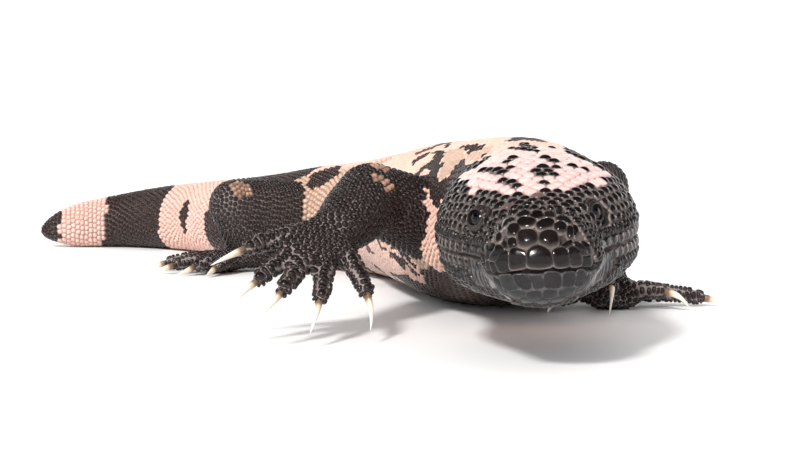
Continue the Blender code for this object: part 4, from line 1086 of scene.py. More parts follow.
def carve_head(work):
    """Sinks the mouth line, folds, eye sockets, nostrils and ears into the skin."""
    verts = [v for v in work.verts if is_on_head(v.co)]
    points = np.array([v.co for v in verts])
    normals = np.array([v.normal for v in verts])
    s, z = on_head(points)
    away = z - mouth_height(s)
    fade = np.clip((MOUTH_LINE[-1][0] - s) / 10, 0, 1) ** 0.5
    width = np.interp(s, *GROOVE_WIDTH)
    sink = np.interp(s, *GROOVE_DEPTH) * fade * np.exp(-((away / width) ** 4))
    for front, back, rise, reach, fold in CHEEK_FOLDS:
        span = np.clip((s - front) / 3, 0, 1) * np.clip((back - s) / 4, 0, 1)
        sink += fold * span * np.exp(-(((away - rise) / reach) ** 2))
    moved = points - normals * sink[:, None]
    for _, sign, centre in eyes():
        look, across, over = eye_frame(sign)
        offset = moved - centre
        radial = np.hypot(offset @ across, offset @ over)
        out = offset @ look
        share = np.clip((SOCKET - radial) / SOCKET_EDGE, 0, 1) * (out > SOCKET_BACK)
        moved -= look * (share * np.clip(out + SOCKET_FLOOR, 0, None))[:, None]
    for place, size, hollow in hollows():
        offset = (moved - place) / size
        near = np.exp(-(np.linalg.norm(offset, axis=1) ** 3))
        moved -= normals * (near * hollow)[:, None]
    for vert, place in zip(verts, moved, strict=True):
        vert.co = Vector(place)


def hollows():
    """Nostrils and ears: the place, the half sizes and the depth of each."""
    found = []
    for x, z in NOSTRILS:
        s, angle = place_seen_from_front(x, z)
        found.append((body_surface(s, angle, -HEAD_COAT), np.array(NOSTRIL_SIZE), NOSTRIL_DEPTH))
    s, x, z = EAR
    for sign in (1.0, -1.0):
        centre = place_on_body(np.array(s), np.array(x * sign), np.array(z))
        found.append((centre, np.array(EAR_SIZE), EAR_DEPTH))
    return found


# Where beads stand, how large they are and how they lie

class Beads:
    """A growing list of beads; arrays() turns it into one array for each field."""

    FIELDS = ("place", "along", "long", "wide", "tall", "flat", "kind", "tube", "piece", "s", "angle", "map")

    def __init__(self):
        self.rows = {field: [] for field in self.FIELDS}

    def add(self, **row):
        for field in self.FIELDS:
            self.rows[field].append(row[field])

    def arrays(self):
        return {field: np.array(values) for field, values in self.rows.items()}


def body_piece(s, below_mouth):
    if s < HEAD_END:
        return "beads_lower_jaw" if below_mouth else "beads_head"
    for name, end in BODY_PIECES:
        if s < end:
            return name
    return BODY_PIECES[-1][0]


def piece_span(s):
    """Start and end, along the body, of the coat piece that s lies in."""
    edges = (0.0, HEAD_END) + tuple(end for _, end in BODY_PIECES)
    k = min(int(np.searchsorted(edges, s, side="right")) - 1, len(edges) - 2)
    return edges[k], edges[k + 1]


def body_map(s, angle):
    """The bead's place on an unwrap of the body: along it, and round it."""
    start, end = piece_span(s)
    return 0.02 + 0.96 * (s - start) / (end - start), 0.02 + 0.96 * (angle / (2 * math.pi) % 1)


def add_on_body(beads, s, angle, long, wide, tall, flat=0.0, kind=BEAD, tube=0):
    """A bead at a place of the body's own surface, long along the body."""
    place = body_surface(s, angle, -float(coat_depth(s)))
    ahead, behind = body_surface(s + 0.4, angle), body_surface(max(s - 0.4, 0.0), angle)
    along = unit(ahead - behind)
    height = section_point(np.array(s), np.array(angle))[1]
    below = s < HEAD_END and float(height) < float(mouth_height(s))
    beads.add(
        place=place, along=along, long=long, wide=wide, tall=tall, flat=flat, kind=kind, tube=tube,
        piece=body_piece(s, below), s=s, angle=angle, map=body_map(s, angle),
    )


def plate_outlines():
    """Every plate of the face: its rise, how flat it is, its outline on the skin and its piece."""
    for tall, flat, picks in FACE_PLATES:
        outline = front_outline({"face": picks})
        if tall == CHIN_RISE:
            outline = [(x, round(z + CHIN_LIFT, 1) if z > CHIN_TOP_FROM else z) for x, z in outline]
        places = [place_seen_from_front(x, z) for x, z in outline]
        below = np.mean([z for _, z in outline]) < mouth_height(np.mean([s for s, _ in places]))
        piece = "plates_jaw" if below else "plates_snout"
        yield tall, flat, places, piece
    for start, end, pitch, top, bottom, sweep, tall, flat, tone in LIP_PLATES:
        for side in (1, -1):
            for s in np.arange(start, end, pitch):
                corners = []
                for ahead, rise in ((0, top), (1, top), (1, (top + bottom) / 2), (1, bottom), (0, bottom)):
                    place = s + ahead * pitch + sweep * ((top - rise) / (top - bottom)) ** 2
                    corners.append((place, angle_at_height(place, float(mouth_height(place)) + rise, side)))
                yield tall, flat, corners, "plates_" + tone


def make_plates():
    """The plates as beads whose reach follows their outlines."""
    beads = Beads()
    reaches = []
    turns = full_turn(PLATE_SIDES)
    for tall, flat, places, piece in plate_outlines():
        s, angle = np.array(places).T
        rim = body_surface(s, angle, -coat_depth(s))
        middle = rim.mean(0)
        up = unit(np.cross(rim - middle, np.roll(rim, -1, axis=0) - middle).sum(0))
        if np.dot(up, middle - HEAD_CORE) < 0:
            up = -up
        along = unit(np.cross(up, (1.0, 0.0, 0.0)))
        across = np.cross(up, along)
        flat_rim = np.stack([(rim - middle) @ along, (rim - middle) @ across], -1)
        reaches.append(outline_reach(flat_rim, turns, PLATE_GROOVE[piece]))
        size = float(np.mean(reaches[-1]))
        beads.add(
            place=middle, along=along, long=size, wide=size, tall=tall, flat=flat, kind=PLATE, tube=-1,
            piece=piece, s=float(s.mean()), angle=float(angle[0]), map=plate_map(len(reaches)),
        )
    fields = beads.arrays()
    fields["up"] = unit(np.cross(fields["along"], np.cross(fields["place"] - HEAD_CORE, fields["along"])))
    set_frames(fields)
    return fields, np.array(reaches), turns


def plate_map(number):
    return 0.05 + 0.1 * (number % 10), 0.05 + 0.1 * (number // 10 % 10)


def outline_reach(rim, turns, groove):
    """How far an outline lies from its middle in each direction, with its corners rounded."""
    ends = np.roll(rim, -1, axis=0)
    ways = np.stack([np.cos(turns), np.sin(turns)], -1)
    found = np.full(len(turns), 0.15)
    for a, b in zip(rim, ends, strict=True):
        edge = b - a
        cross = ways[:, 0] * edge[1] - ways[:, 1] * edge[0]
        with np.errstate(divide="ignore", invalid="ignore"):
            out = (a[0] * edge[1] - a[1] * edge[0]) / cross
            share = (a[0] * ways[:, 1] - a[1] * ways[:, 0]) / cross
        hit = (share >= -1e-6) & (share <= 1 + 1e-6) & (out > 0) & np.isfinite(out)
        found = np.where(hit, np.maximum(found, out), found)
    for _ in range(2):
        found = (np.roll(found, 1) + 2 * found + np.roll(found, -1)) / 4
    return np.maximum(found - groove, 0.3)


def guard_plates(beads, plates, reaches, turns):
    """Marks the plates' ground as taken, so that no bead grows into it."""
    for k in range(len(reaches)):
        for share in (0.0, 0.5, 1.0):
            count = max(1, int(share * 2 * math.pi * plates["long"][k] / 0.8))
            for n in np.linspace(0, len(turns), count, endpoint=False).astype(int):
                out = max(share * (reaches[k][n] - GUARD), 0)
                way = plates["along"][k] * math.cos(turns[n]) + plates["across"][k] * math.sin(turns[n])
                row = {name: plates[name][k] for name in Beads.FIELDS}
                row.update(place=plates["place"][k] + way * out, long=GUARD, wide=GUARD, tube=-3, kind=TAKEN)
                beads.add(**row)


def void_beads(beads):
    """Places that stay bare: the mouth line, the eyes, the nostrils and the ears."""
    turns = np.radians(np.arange(4, 90, 5))
    cheek = np.arange(SNOUT_ROUND, MOUTH_LINE[-1][0], 1.0)
    for s in np.concatenate([SNOUT_ROUND * (1 - np.cos(turns)), cheek]):
        gap = float(np.interp(s, *BARE_LIP))
        for side in (1, -1):
            angle = angle_at_height(s, float(mouth_height(s)), side)
            add_on_body(beads, s, angle, gap, gap, 0, kind=VOID, tube=-2)
    for _, sign, centre in eyes():
        look, across, over = eye_frame(sign)
        for reach, count in ((LID_OUT, 18), (LID_OUT * 0.55, 10), (0, 1)):
            for turn in full_turn(count):
                out = across * math.cos(turn) + over * math.sin(turn)
                bare(beads, centre + look * 1.5 + out * reach, 0.6)
    for place, size, _ in hollows():
        bare(beads, place, float(np.mean(size)) * 0.75)


def bare(beads, place, size):
    along = np.array((0.0, 1.0, 0.0))
    beads.add(
        place=place, along=along, long=size, wide=size, tall=0, flat=0, kind=VOID, tube=-2,
        piece="beads_head", s=0.0, angle=0.0, map=(0.5, 0.5),
    )


def body_pitch(s, angle):
    """The space from bead to bead along the body and round it, by place. The cheeks' beads are smaller."""
    turn = np.abs(from_back(np.degrees(angle)))
    cheek = np.clip((turn - 40) / 25, 0, 1) * np.clip((70 - s) / 15, 0, 1)
    along = np.interp(s, *PITCH_ALONG)
    around = np.interp(s, *PITCH_AROUND) * (1 - CHEEK_SHRINK * cheek)
    under = np.clip((np.abs((np.degrees(angle) - 270 + 180) % 360 - 180) - 70) / -25, 0, 1)
    under = under * np.clip((s - 8) / 8, 0, 1)
    return along * (1 + 0.05 * under), around * (1 + 0.35 * under), under


def body_beads(beads, random):
    """Rows of beads round the head, neck, trunk and tail."""
    s, row = FIRST_ROW, 0
    angles = np.radians(np.linspace(90, 450, 361))
    while s < LENGTH - 2.5:
        line = body_surface(np.full(361, s), angles, -float(coat_depth(s)))
        steps = np.linalg.norm(np.diff(line, axis=0), axis=1)
        along, around, _ = body_pitch(s, (angles[:-1] + angles[1:]) / 2)
        run = np.concatenate([[0], np.cumsum(steps / around)])
        count = max(6, round(run[-1]))
        places = (np.arange(count) + 0.5 * (row % 2)) / count * run[-1]
        for angle in np.interp(places, run, angles):
            long, wide, low = body_pitch(s, angle)
            uneven = float(np.interp(s, *UNEVEN))
            size = random.uniform(1 - uneven, 1 + uneven)
            shift = random.normal(0, float(np.interp(s, *SCATTER)), 2) * (long, wide)
            tall = float(np.interp(s, *BEAD_HEIGHT)) * (1 - 0.45 * low) * size
            turn = angle + shift[1] / 25
            add_on_body(beads, s + shift[0], turn, long / 2 * size, wide / 2 * size, tall, 0.5 * low)
        s += float(np.mean(along)) * ROW_SHARE
        row += 1


def limb_beads(beads, random):
    """Rings of scales round the legs, palms and toes."""
    spacing = {kind: sizes[0] * ROW_SHARE for kind, sizes in LIMB_PITCH.items()}
    spacing["toe"] = LIMB_PITCH["toe"][0]
    tubes = limb_tubes(spacing, 72)
    for number, (leg, kind, path, rings) in enumerate(tubes, start=1):
        long, wide, tall = LIMB_PITCH[kind]
        closed = np.concatenate([rings, rings[:, :1]], axis=1)
        turns = np.linspace(0, 2 * math.pi, closed.shape[1])
        band = (number - 1) % (len(tubes) // len(LEGS))
        for row in range(1 if kind != "toe" else 0, len(rings)):
            steps = np.linalg.norm(np.diff(closed[row], axis=0), axis=1)
            run = np.concatenate([[0], np.cumsum(steps)])
            count = TOE_SCALES if kind == "toe" else max(4, round(run[-1] / wide))
            over = np.argmax(rings[row] @ np.array(FEET[leg]["back_of_foot"]))
            phase = 0.5 * (row % 2) if kind != "toe" else run[over] * count / run[-1] % 1
            for place in (np.arange(count) + phase) / count * run[-1]:
                point = np.array([np.interp(place, run, closed[row, :, k]) for k in range(3)])
                turn = float(np.interp(place, run, turns))
                ahead = path[min(row + 1, len(path) - 1)] - path[max(row - 1, 0)]
                size = random.uniform(0.93, 1.06)
                u = 0.02 + 0.96 * row / len(rings)
                v = (band + 0.1 + 0.8 * turn / (2 * math.pi)) / (len(tubes) // len(LEGS))
                beads.add(
                    place=point, along=unit(ahead), long=long / 2 * size, wide=run[-1] / count / 2 * size,
                    tall=tall * size, flat=0.35 if kind == "toe" else 0.0, kind=BEAD, tube=number,
                    piece="beads_" + leg, s=row / len(rings), angle=turn, map=(u, v),
                )
        if kind == "toe":
            over = np.argmax(rings[-2] @ np.array(FEET[leg]["back_of_foot"]))
            long, wide, tall, flat = HOOD
            beads.add(
                place=rings[-2][over], along=unit(path[-1] - path[-2]), long=long, wide=wide, tall=tall,
                flat=flat, kind=BEAD, tube=0, piece="beads_" + leg, s=1.0, angle=0.0,
                map=(0.98, (band + 0.1) / (len(tubes) // len(LEGS))),
            )


def settle(fields, keep):
    """Keeps only some beads."""
    return {name: values[keep] for name, values in fields.items()}


def drop_onto(fields, tree, normals):
    """Moves beads to the skin's nearest point, and drops those that lie deep in the flesh."""
    kept = []
    spots, ups = fields["place"].copy(), np.zeros_like(fields["place"])
    for k, place in enumerate(fields["place"]):
        spot, _, face, distance = tree.find_nearest(Vector(place))
        if distance > DROP_REACH and fields["kind"][k] == BEAD:
            continue
        spots[k], ups[k] = spot, normals[face]
        kept.append(k)
    fields["place"], fields["up"] = spots, unit(ups)
    return settle(fields, np.array(kept))


def thinned(fields):
    """Drops each bead that crowds one of an earlier kind or row."""
    tree = kd_tree(fields["place"])
    size = (fields["long"] + fields["wide"]) / 2
    tube, kind = fields["tube"], fields["kind"]
    order = np.argsort(tube, kind="stable")
    rank = np.empty(len(order), int)
    rank[order] = np.arange(len(order))
    alive = np.ones(len(order), bool)
    for k in order:
        if not alive[k]:
            continue
        for _, other, distance in tree.find_range(fields["place"][k], size[k] * 1.9):
            if other == k or rank[other] < rank[k] or not alive[other] or kind[other] != BEAD:
                continue
            share = SAME_TUBE_SHARE if tube[other] == tube[k] else OTHER_TUBE_SHARE
            if distance < share * (size[k] + size[other]):
                alive[other] = False
    return settle(fields, alive)


def neighbours(fields, count):
    tree = kd_tree(fields["place"])
    near = np.zeros((len(fields["place"]), count), int)
    for k, place in enumerate(fields["place"]):
        found = [other for _, other, _ in tree.find_n(place, count + 1) if other != k]
        near[k] = found[:count]
    return near


def cell_edges(fields, near):
    """For each bead and neighbour: the direction in the bead's own frame, and how far its edge lies."""
    place, along, across = fields["place"], fields["along"], fields["across"]
    offset = place[near] - place[:, None]
    distance = np.linalg.norm(offset, axis=-1)
    direction = np.arctan2((offset * across[:, None]).sum(-1), (offset * along[:, None]).sum(-1))
    back = np.arctan2(-(offset * across[near]).sum(-1), -(offset * along[near]).sum(-1))
    own = oval(fields["long"][:, None], fields["wide"][:, None], direction)
    other = oval(fields["long"][near], fields["wide"][near], back)
    edge = distance * own / (own + other)
    facing = (fields["up"][:, None] * fields["up"][near]).sum(-1)
    edge[facing < -0.2] = 99.0
    return direction, edge, own


def set_frames(fields):
    up = fields["up"]
    along = fields["along"] - (fields["along"] * up).sum(-1, keepdims=True) * up
    fields["along"] = unit(along)
    fields["across"] = np.cross(up, fields["along"])


def relaxed(fields, tree, normals, turns):
    """Evens out the spaces between beads, a little at a time. Plates and bare places stay."""
    free = (fields["tube"] >= 0) & (fields["kind"] == BEAD)
    for _ in range(turns):
        set_frames(fields)
        near = neighbours(fields, NEAR_TO_MOVE)
        direction, edge, own = cell_edges(fields, near)
        push = np.clip(own - edge, -0.12, 0.5) * (edge < 9)
        step_along = -(np.cos(direction) * push).sum(-1) * RELAX
        step_across = -(np.sin(direction) * push).sum(-1) * RELAX
        step = fields["along"] * step_along[:, None] + fields["across"] * step_across[:, None]
        length = np.linalg.norm(step, axis=1, keepdims=True)
        step *= np.minimum(1, 0.5 * fields["long"][:, None] / np.maximum(length, 1e-9))
        for k in np.flatnonzero(free):
            spot, _, face, _ = tree.find_nearest(Vector(fields["place"][k] + step[k]))
            fields["place"][k], fields["up"][k] = spot, normals[face]
    set_frames(fields)
    return fields


def filled(fields, work):
    """Adds a bead wherever the skin would show between others that stand too far apart."""
    tree = kd_tree(fields["place"])
    size = (fields["long"] + fields["wide"]) / 2
    copies, places, ups = [], [], []
    taken = {}
    for vert in work.verts:
        _, k, distance = tree.find(vert.co)
        room = {BEAD: FILL_SHARE * size[k], VOID: FILL_BESIDE_VOID}.get(fields["kind"][k], FILL_BESIDE_PLATE)
        if distance < room:
            continue
        k = next((n for _, n, _ in tree.find_n(vert.co, 20) if fields["kind"][n] == BEAD), None)
        if k is None:
            continue
        if vert.normal.z < -0.8 and vert.co.z < SOLE_COAT + 0.1:
            continue
        cell = tuple(int(c // (size[k] * 1.6)) for c in vert.co)
        if cell in taken:
            continue
        taken[cell] = True
        copies.append(k)
        places.append(vert.co[:])
        ups.append(vert.normal[:])
    more = settle(fields, np.array(copies, int))
    if copies:
        more["place"], more["up"] = np.array(places), np.array(ups)
        more["tube"] = np.full(len(copies), 50)
    return {name: np.concatenate([values, more[name]]) for name, values in fields.items()}


def mesh_from(name, points, polygons, colours, uvs=None):
    """A mesh object in metres from arrays: polygons is a list of arrays of equal-sided faces."""
    mesh = bpy.data.meshes.new(name)
    loops = np.concatenate([p.reshape(-1) for p in polygons]).astype(np.int32)
    sizes = np.concatenate([np.full(len(p), p.shape[1]) for p in polygons])
    starts = np.concatenate([[0], np.cumsum(sizes)[:-1]]).astype(np.int32)
    mesh.vertices.add(len(points))
    mesh.vertices.foreach_set("co", (points * MM).astype(np.float32).ravel())
    mesh.loops.add(len(loops))
    mesh.loops.foreach_set("vertex_index", loops)
    mesh.polygons.add(len(starts))
    mesh.polygons.foreach_set("loop_start", starts)
    mesh.polygons.foreach_set("use_smooth", np.ones(len(starts), bool))
    mesh.update(calc_edges=True)
    tone = mesh.color_attributes.new("marking", "FLOAT_COLOR", "POINT")
    full = np.concatenate([colours, np.ones((len(colours), 1))], axis=1)
    tone.data.foreach_set("color", full.astype(np.float32).ravel())
    if uvs is not None:
        layer = mesh.uv_layers.new(name="OFBake")
        layer.uv.foreach_set("vector", uvs[loops].astype(np.float32).ravel())
    mesh.validate()
    thing = bpy.data.objects.new(name, mesh)
    bpy.context.scene.collection.objects.link(thing)
    return thing


def bead_mesh(name, fields, reach, drop, turns, profile):
    """All beads of one piece as closed domes, each rooted in the skin."""
    count, sides = reach.shape
    rings = len(profile)
    place, up = fields["place"], fields["up"]
    flat, tall = fields["flat"], fields["tall"]
    points = np.empty((count, rings * sides + 1, 3))
    uvs = np.empty((count, rings * sides + 1, 2))
    colours = np.empty((count, rings * sides + 1, 3))
    ways = (
        np.cos(turns)[None, :, None] * fields["along"][:, None]
        + np.sin(turns)[None, :, None] * fields["across"][:, None]
    )
    for ring, (share, round_height, flat_height, rim) in enumerate(profile):
        height = (round_height * (1 - flat) + flat_height * flat) * tall
        spread = share + (1 - share) * 0.45 * flat[:, None] * (0 < ring)
        out = reach * spread
        lift = height[:, None] + drop * spread**2
        at = slice(ring * sides, (ring + 1) * sides)
        points[:, at] = place[:, None] + ways * out[..., None] + up[:, None] * lift[..., None]
        uvs[:, at] = fields["map"][:, None] + PATCH / 2 * share * np.stack([np.cos(turns), np.sin(turns)], -1)
        colours[:, at] = (fields["rim"] * rim + fields["colour"] * (1 - rim))[:, None]
    points[:, -1] = place + up * tall[:, None]
    uvs[:, -1] = fields["map"]
    colours[:, -1] = fields["colour"]
    points[..., 2] = np.maximum(points[..., 2], FLOOR_CLEAR)
    first = (np.arange(count) * (rings * sides + 1))[:, None, None]
    walls = grid_faces(rings, sides)[None] + first
    last = (rings - 1) * sides
    k = np.arange(sides)
    fan = np.stack([last + k, last + (k + 1) % sides, np.full(sides, rings * sides)], -1)[None] + first
    base = np.arange(sides)[::-1][None, None] + first
    polygons = [walls.reshape(-1, 4), fan.reshape(-1, 3), base.reshape(-1, sides)]
    return mesh_from(name, points.reshape(-1, 3), polygons, colours.reshape(-1, 3), uvs.reshape(-1, 2))


def root_drop(fields, reach, turns, tree):
    """How far the skin falls away under each bead's rim, along the bead's own axis."""
    drop = np.zeros(reach.shape)
    for k in range(len(reach)):
        place, up = fields["place"][k], fields["up"][k]
        along, across = fields["along"][k], fields["across"][k]
        limit = 0.75 * reach[k].mean()
        for n, turn in enumerate(turns):
            rim = place + reach[k, n] * (math.cos(turn) * along + math.sin(turn) * across)
            spot = tree.find_nearest(Vector(rim))[0]
            fall = float(np.dot(np.array(spot) - place, up))
            drop[k, n] = min(max(fall, -limit), limit * 0.5)
    return drop


# Markings

def inside(outline, s, turn):
    """Which places lie inside an outline, by the parity of crossings."""
    ends = np.roll(outline, -1, axis=0)
    found = np.zeros(len(s), bool)
    for (s0, t0), (s1, t1) in zip(outline, ends, strict=True):
        crosses = (t0 > turn) != (t1 > turn)
        with np.errstate(divide="ignore", invalid="ignore"):
            edge = s0 + (turn - t0) / (t1 - t0) * (s1 - s0)
        found ^= crosses & (s < edge)
    return found


def trunk_is_black(s, turn, place):
    """The reticulated pattern of back and flanks, which breaks into slanting stripes low down."""
    warp = noise.noise(Vector(place) * 0.028 + Vector((3.1, 7.7, 1.3)))
    fine = noise.noise(Vector(place) * 0.10)
    low = min(max((abs(turn) - 95) / 35, 0), 1)
    wave = math.sin(2 * math.pi * (s + 0.42 * abs(turn)) / SADDLE_LENGTH + 3.4 * warp)
    return wave + 1.1 * fine > 0.45 * low - 0.1


def body_tones(fields):
    """The name of each body bead's tone, from the bands, the pattern of the back, the outlines and the painted
    shade under the belly.
    """
    s = fields["s"].astype(float)
    turn = from_back(np.degrees(fields["angle"].astype(float)))
    wobble = np.array([noise.noise(Vector(place) * WAVER_GRAIN) for place in fields["place"]])
    other = Vector((5.0, 1.0, 8.0))
    waver = np.array([noise.noise(Vector(place) * WAVER_GRAIN + other) for place in fields["place"]])
    found = np.full(len(s), "black", dtype="<U8")
    for k in np.flatnonzero((s > HEAD_BLACK_TO) & (s < TAIL_MARKS_FROM)):
        seen = SEEN[0] < turn[k] < SEEN[1] and s[k] < SEEN_END
        if seen or not trunk_is_black(s[k], turn[k], fields["place"][k]):
            found[k] = "pink"
    edge = s + 1.5 * wobble + TAIL_LEAN * np.cos(np.radians(turn - 60))
    tail = s >= TAIL_MARKS_FROM
    banded = np.any([(start < edge) & (edge < end) for start, end in TAIL_BANDS], axis=0)
    found[tail & ~banded] = "pink"
    near = s + MARK_WAVER * wobble * np.clip(s / 60, 0.4, 2)
    round_it = turn + MARK_WAVER * 1.6 * waver * np.clip(s / 60, 0.5, 1.5)
    marks = TRUNK_MARKS + tuple((name, body_outline(picks)) for name, picks in PHOTO_MARKS)
    for name, outline in marks:
        found[inside(outline, near, round_it)] = name
    for picks in CROWN_SPOTS:
        found[inside(body_outline({"crown": picks}), s, turn)] = "black"
    for middle_s, middle_turn, half_s, half_turn, name in TAIL_SPOTS:
        reach = ((s - middle_s) / half_s) ** 2 + ((turn - middle_turn) / half_turn) ** 2
        found[reach < 1 + 0.9 * wobble] = name
    found[(fields["piece"] == "beads_lower_jaw") & (s < HEAD_BLACK_TO)] = "lip"
    # Painted shade: beads low under the belly, near the floor, turn dark brown
    dark = (s > BELLY_SHADE[0][0]) & (s < BELLY_SHADE[0][-1])
    found[dark & (np.abs(turn) > np.interp(s, *BELLY_SHADE) + 6 * wobble)] = "umber"
    found[(found == "tan") & (s < HEAD_BLACK_TO)] = "brown"
    found[(found == "black") & (s < HEAD_COAT_END)] = "head"
    found[(found == "black")] = "coal"
    return found


def tones(fields, random):
    """Each bead's own colour, and that of its rim and of the skin round it; bare places get a painted shade."""
    count = len(fields["place"])
    colour, rim, skin = np.empty((count, 3)), np.empty((count, 3)), np.empty((count, 3))
    spots = np.array(LIMB_SPOTS)
    names = body_tones(fields)
    for k in range(count):
        place, name = fields["place"][k], names[k]
        # Bare places take the painted shade of the hollows
        if fields["kind"][k] == VOID:
            colour[k] = rim[k] = skin[k] = HOLLOW_SHADE
            continue
        if fields["tube"][k] < 0:
            name = PLATE_TONES[fields["piece"][k]]
        elif fields["piece"][k] not in BODY_NAMES:
            near = np.linalg.norm(spots[:, :3] - place, axis=1) < spots[:, 3]
            odd = noise.noise(Vector(place) * 0.35 + Vector((9.0, 2.0, 4.0))) > ODD_BEADS
            name = "tan" if near.any() or odd else "limb"
        base, edge, ground = TONES[name]
        light = random.uniform(*(PALE_LIGHT if name in ("pink", "cream") else DARK_LIGHT))
        warm = min(max(0.4 + 1.1 * noise.noise(Vector(place) * 0.05), 0), 1)
        pale = float(np.interp(fields["s"][k], *CROWN_BY_PLACE)) if name == "pink" else 0
        own = np.array(base)
        if name == "pink":
            turn = abs(from_back(math.degrees(fields["angle"][k])))
            low = np.interp(turn, *FLANK_BY_TURN) * np.interp(fields["s"][k], *FLANK_BY_PLACE)
            own = mix(own, np.array(FLANK_PINK), float(low))
            tail = float(np.interp(fields["s"][k], *TAIL_PINK_BY_PLACE))
            own = mix(own, np.array(TAIL_PINK), tail)
            own = own * (1 - 0.4 * warm * (1 - tail)) + np.array(TONES["cream"][0]) * 0.4 * warm * (1 - tail)
            own = mix(own, np.array(CROWN_PINK), pale)
        colour[k], rim[k], skin[k] = own * light, edge, ground
        if name == "pink" and not pale:
            rim[k], skin[k] = own * PINK_RIM, own * PINK_GROUND
        if pale:
            rim[k] = mix(np.array(edge), np.array(CROWN_RIM), pale)
            skin[k] = np.array(ground) * (1 - pale) + np.array(CROWN_RIM) * pale * CROWN_GROUND
            fields["flat"][k] = CROWN_FLAT * pale
            fields["tall"][k] *= 1 - (1 - CROWN_LOW) * pale
    fields["colour"], fields["rim"], fields["ground"] = colour, rim, skin
    return fields


def skin_colours(points, fields):
    """The skin takes the ground tone of the nearest beads, so that it carries the same markings and the same
    painted shade of the hollows and the belly.
    """
    tree = kd_tree(fields["place"])
    colours = np.empty((len(points), 3))
    for n, point in enumerate(points):
        found = tree.find_n(point, 3)
        weights = np.array([1 / (d + 0.3) ** 2 for _, _, d in found])
        colours[n] = (fields["ground"][[k for _, k, _ in found]] * weights[:, None]).sum(0) / weights.sum()
    return colours


# Eyes, lids and claws

def ramp(at, edges, tones):
    """Colours along a row of tones."""
    return np.array([np.interp(at, edges, [tone[k] for tone in tones]) for k in range(3)]).T


def tube_mesh(name, points, faces, colours):
    quads = np.array([face for face in faces if len(face) == 4])
    triangles = np.array([face for face in faces if len(face) == 3])
    return mesh_from(name, points, [quads, triangles], colours)


def revolve(centre, look, across, over, reaches, heights, sides):
    turns = full_turn(sides)
    ring = np.cos(turns)[:, None] * across + np.sin(turns)[:, None] * over
    return centre + look * heights[:, None, None] + ring[None] * reaches[:, None, None]


def make_eye(side, sign, centre):
    """An eyeball with a bulging cornea, and a dark iris round its pupil."""
    look, across, over = eye_frame(sign)
    turns = np.radians(np.linspace(3, 177, 40))
    size = EYE_RADIUS * (1 + CORNEA * np.exp(-((turns / CORNEA_REACH) ** 2)))
    rings = revolve(centre, look, across, over, size * np.sin(turns), size * np.cos(turns), EYE_SIDES)
    points, faces = closed_tube(rings[::-1], centre - look * size[-1], centre + look * size[0])
    shares = np.concatenate([np.repeat(turns[::-1], EYE_SIDES), [math.pi, 0.0]])
    return tube_mesh("eyeball_" + side, points, faces, ramp(shares, IRIS_EDGES, IRIS_TONES))


def make_lids(side, sign, centre):
    """Both lids as one broad ring of small scales over the eyeball, open in an almond."""
    look, across, over = eye_frame(sign)
    turns = full_turn(LID_SIDES)
    open_at = oval(*LID_OPENING, turns)
    points, colours = [], []
    for number, (share, height, lump, pale) in enumerate(LID_SECTION):
        reach = open_at * (1 - share) + LID_REACH * share
        granule = lump * np.abs(np.cos(turns * LID_GRAINS / 2 + number * math.pi / 2))
        out = np.cos(turns)[:, None] * across + np.sin(turns)[:, None] * over
        points.append(centre + look * (height + granule)[:, None] + out * reach[:, None])
        light = np.clip(pale + (0.12 - granule) * (lump > 0) * 2.5, 0, 1)[:, None]
        colours.append(mix(np.array(TONES["black"][0]), np.array(TONES["black"][1]), light))
    rings = np.stack(points)
    faces = grid_faces(len(rings) + 1, LID_SIDES) % (len(rings) * LID_SIDES)
    if sign > 0:
        faces = faces[:, ::-1]
    return mesh_from("lids_" + side, rings.reshape(-1, 3), [faces], np.concatenate(colours))


def make_claw(name, leg, plan, knuckle, end, tip):
    """A horn claw, rooted in its toe and drooping to its point."""
    path, _ = toe_path(leg, plan, knuckle, end, 0.8)
    direction, up = unit(path[-1] - path[-2]), np.array(plan["back_of_foot"])
    root, tip = np.array(end) + direction * GAP, np.array(tip)
    bend = root + direction * np.linalg.norm(tip - root) * CLAW_DROOP
    t = np.linspace(0, 1, CLAW_RINGS)[:-1, None]
    path = root * (1 - t) ** 2 + 2 * bend * t * (1 - t) + tip * t**2
    path = np.concatenate([[root - direction * CLAW_ROOT], path])
    share = np.concatenate([[0], t[:, 0]])
    sizes = CLAW_RADIUS * CLAW_SLIM * (1 - share) ** 0.75
    rings = tube_rings(path, sizes * CLAW_FLATNESS, sizes, up, CLAW_SIDES)
    rings[..., 2] = np.maximum(rings[..., 2], FLOOR_CLEAR)
    points, faces = closed_tube(rings, path[0], tip)
    shares = np.concatenate([np.repeat(share, CLAW_SIDES), [0.0, 1.0]])
    return tube_mesh(name, points, faces, ramp(shares, CLAW_EDGES, CLAW_TONES))


# Materials

def new_material(name):
    """A material with its nodes, links and shader."""
    material = bpy.data.materials.new(name)
    material.use_nodes = True
    nodes = material.node_tree.nodes
    return material, nodes, material.node_tree.links, nodes["Principled BSDF"]


def add_node(nodes, kind, **values):
    """A node with values set on its inputs, whose names are written with _ for a space."""
    node = nodes.new(kind)
    for name, value in values.items():
        node.inputs[name.replace("_", " ")].default_value = value
    return node


def map_range(nodes, low, high):
    start, end = CLOUD_RANGE
    return add_node(nodes, "ShaderNodeMapRange", From_Min=start, From_Max=end, To_Min=low, To_Max=high)


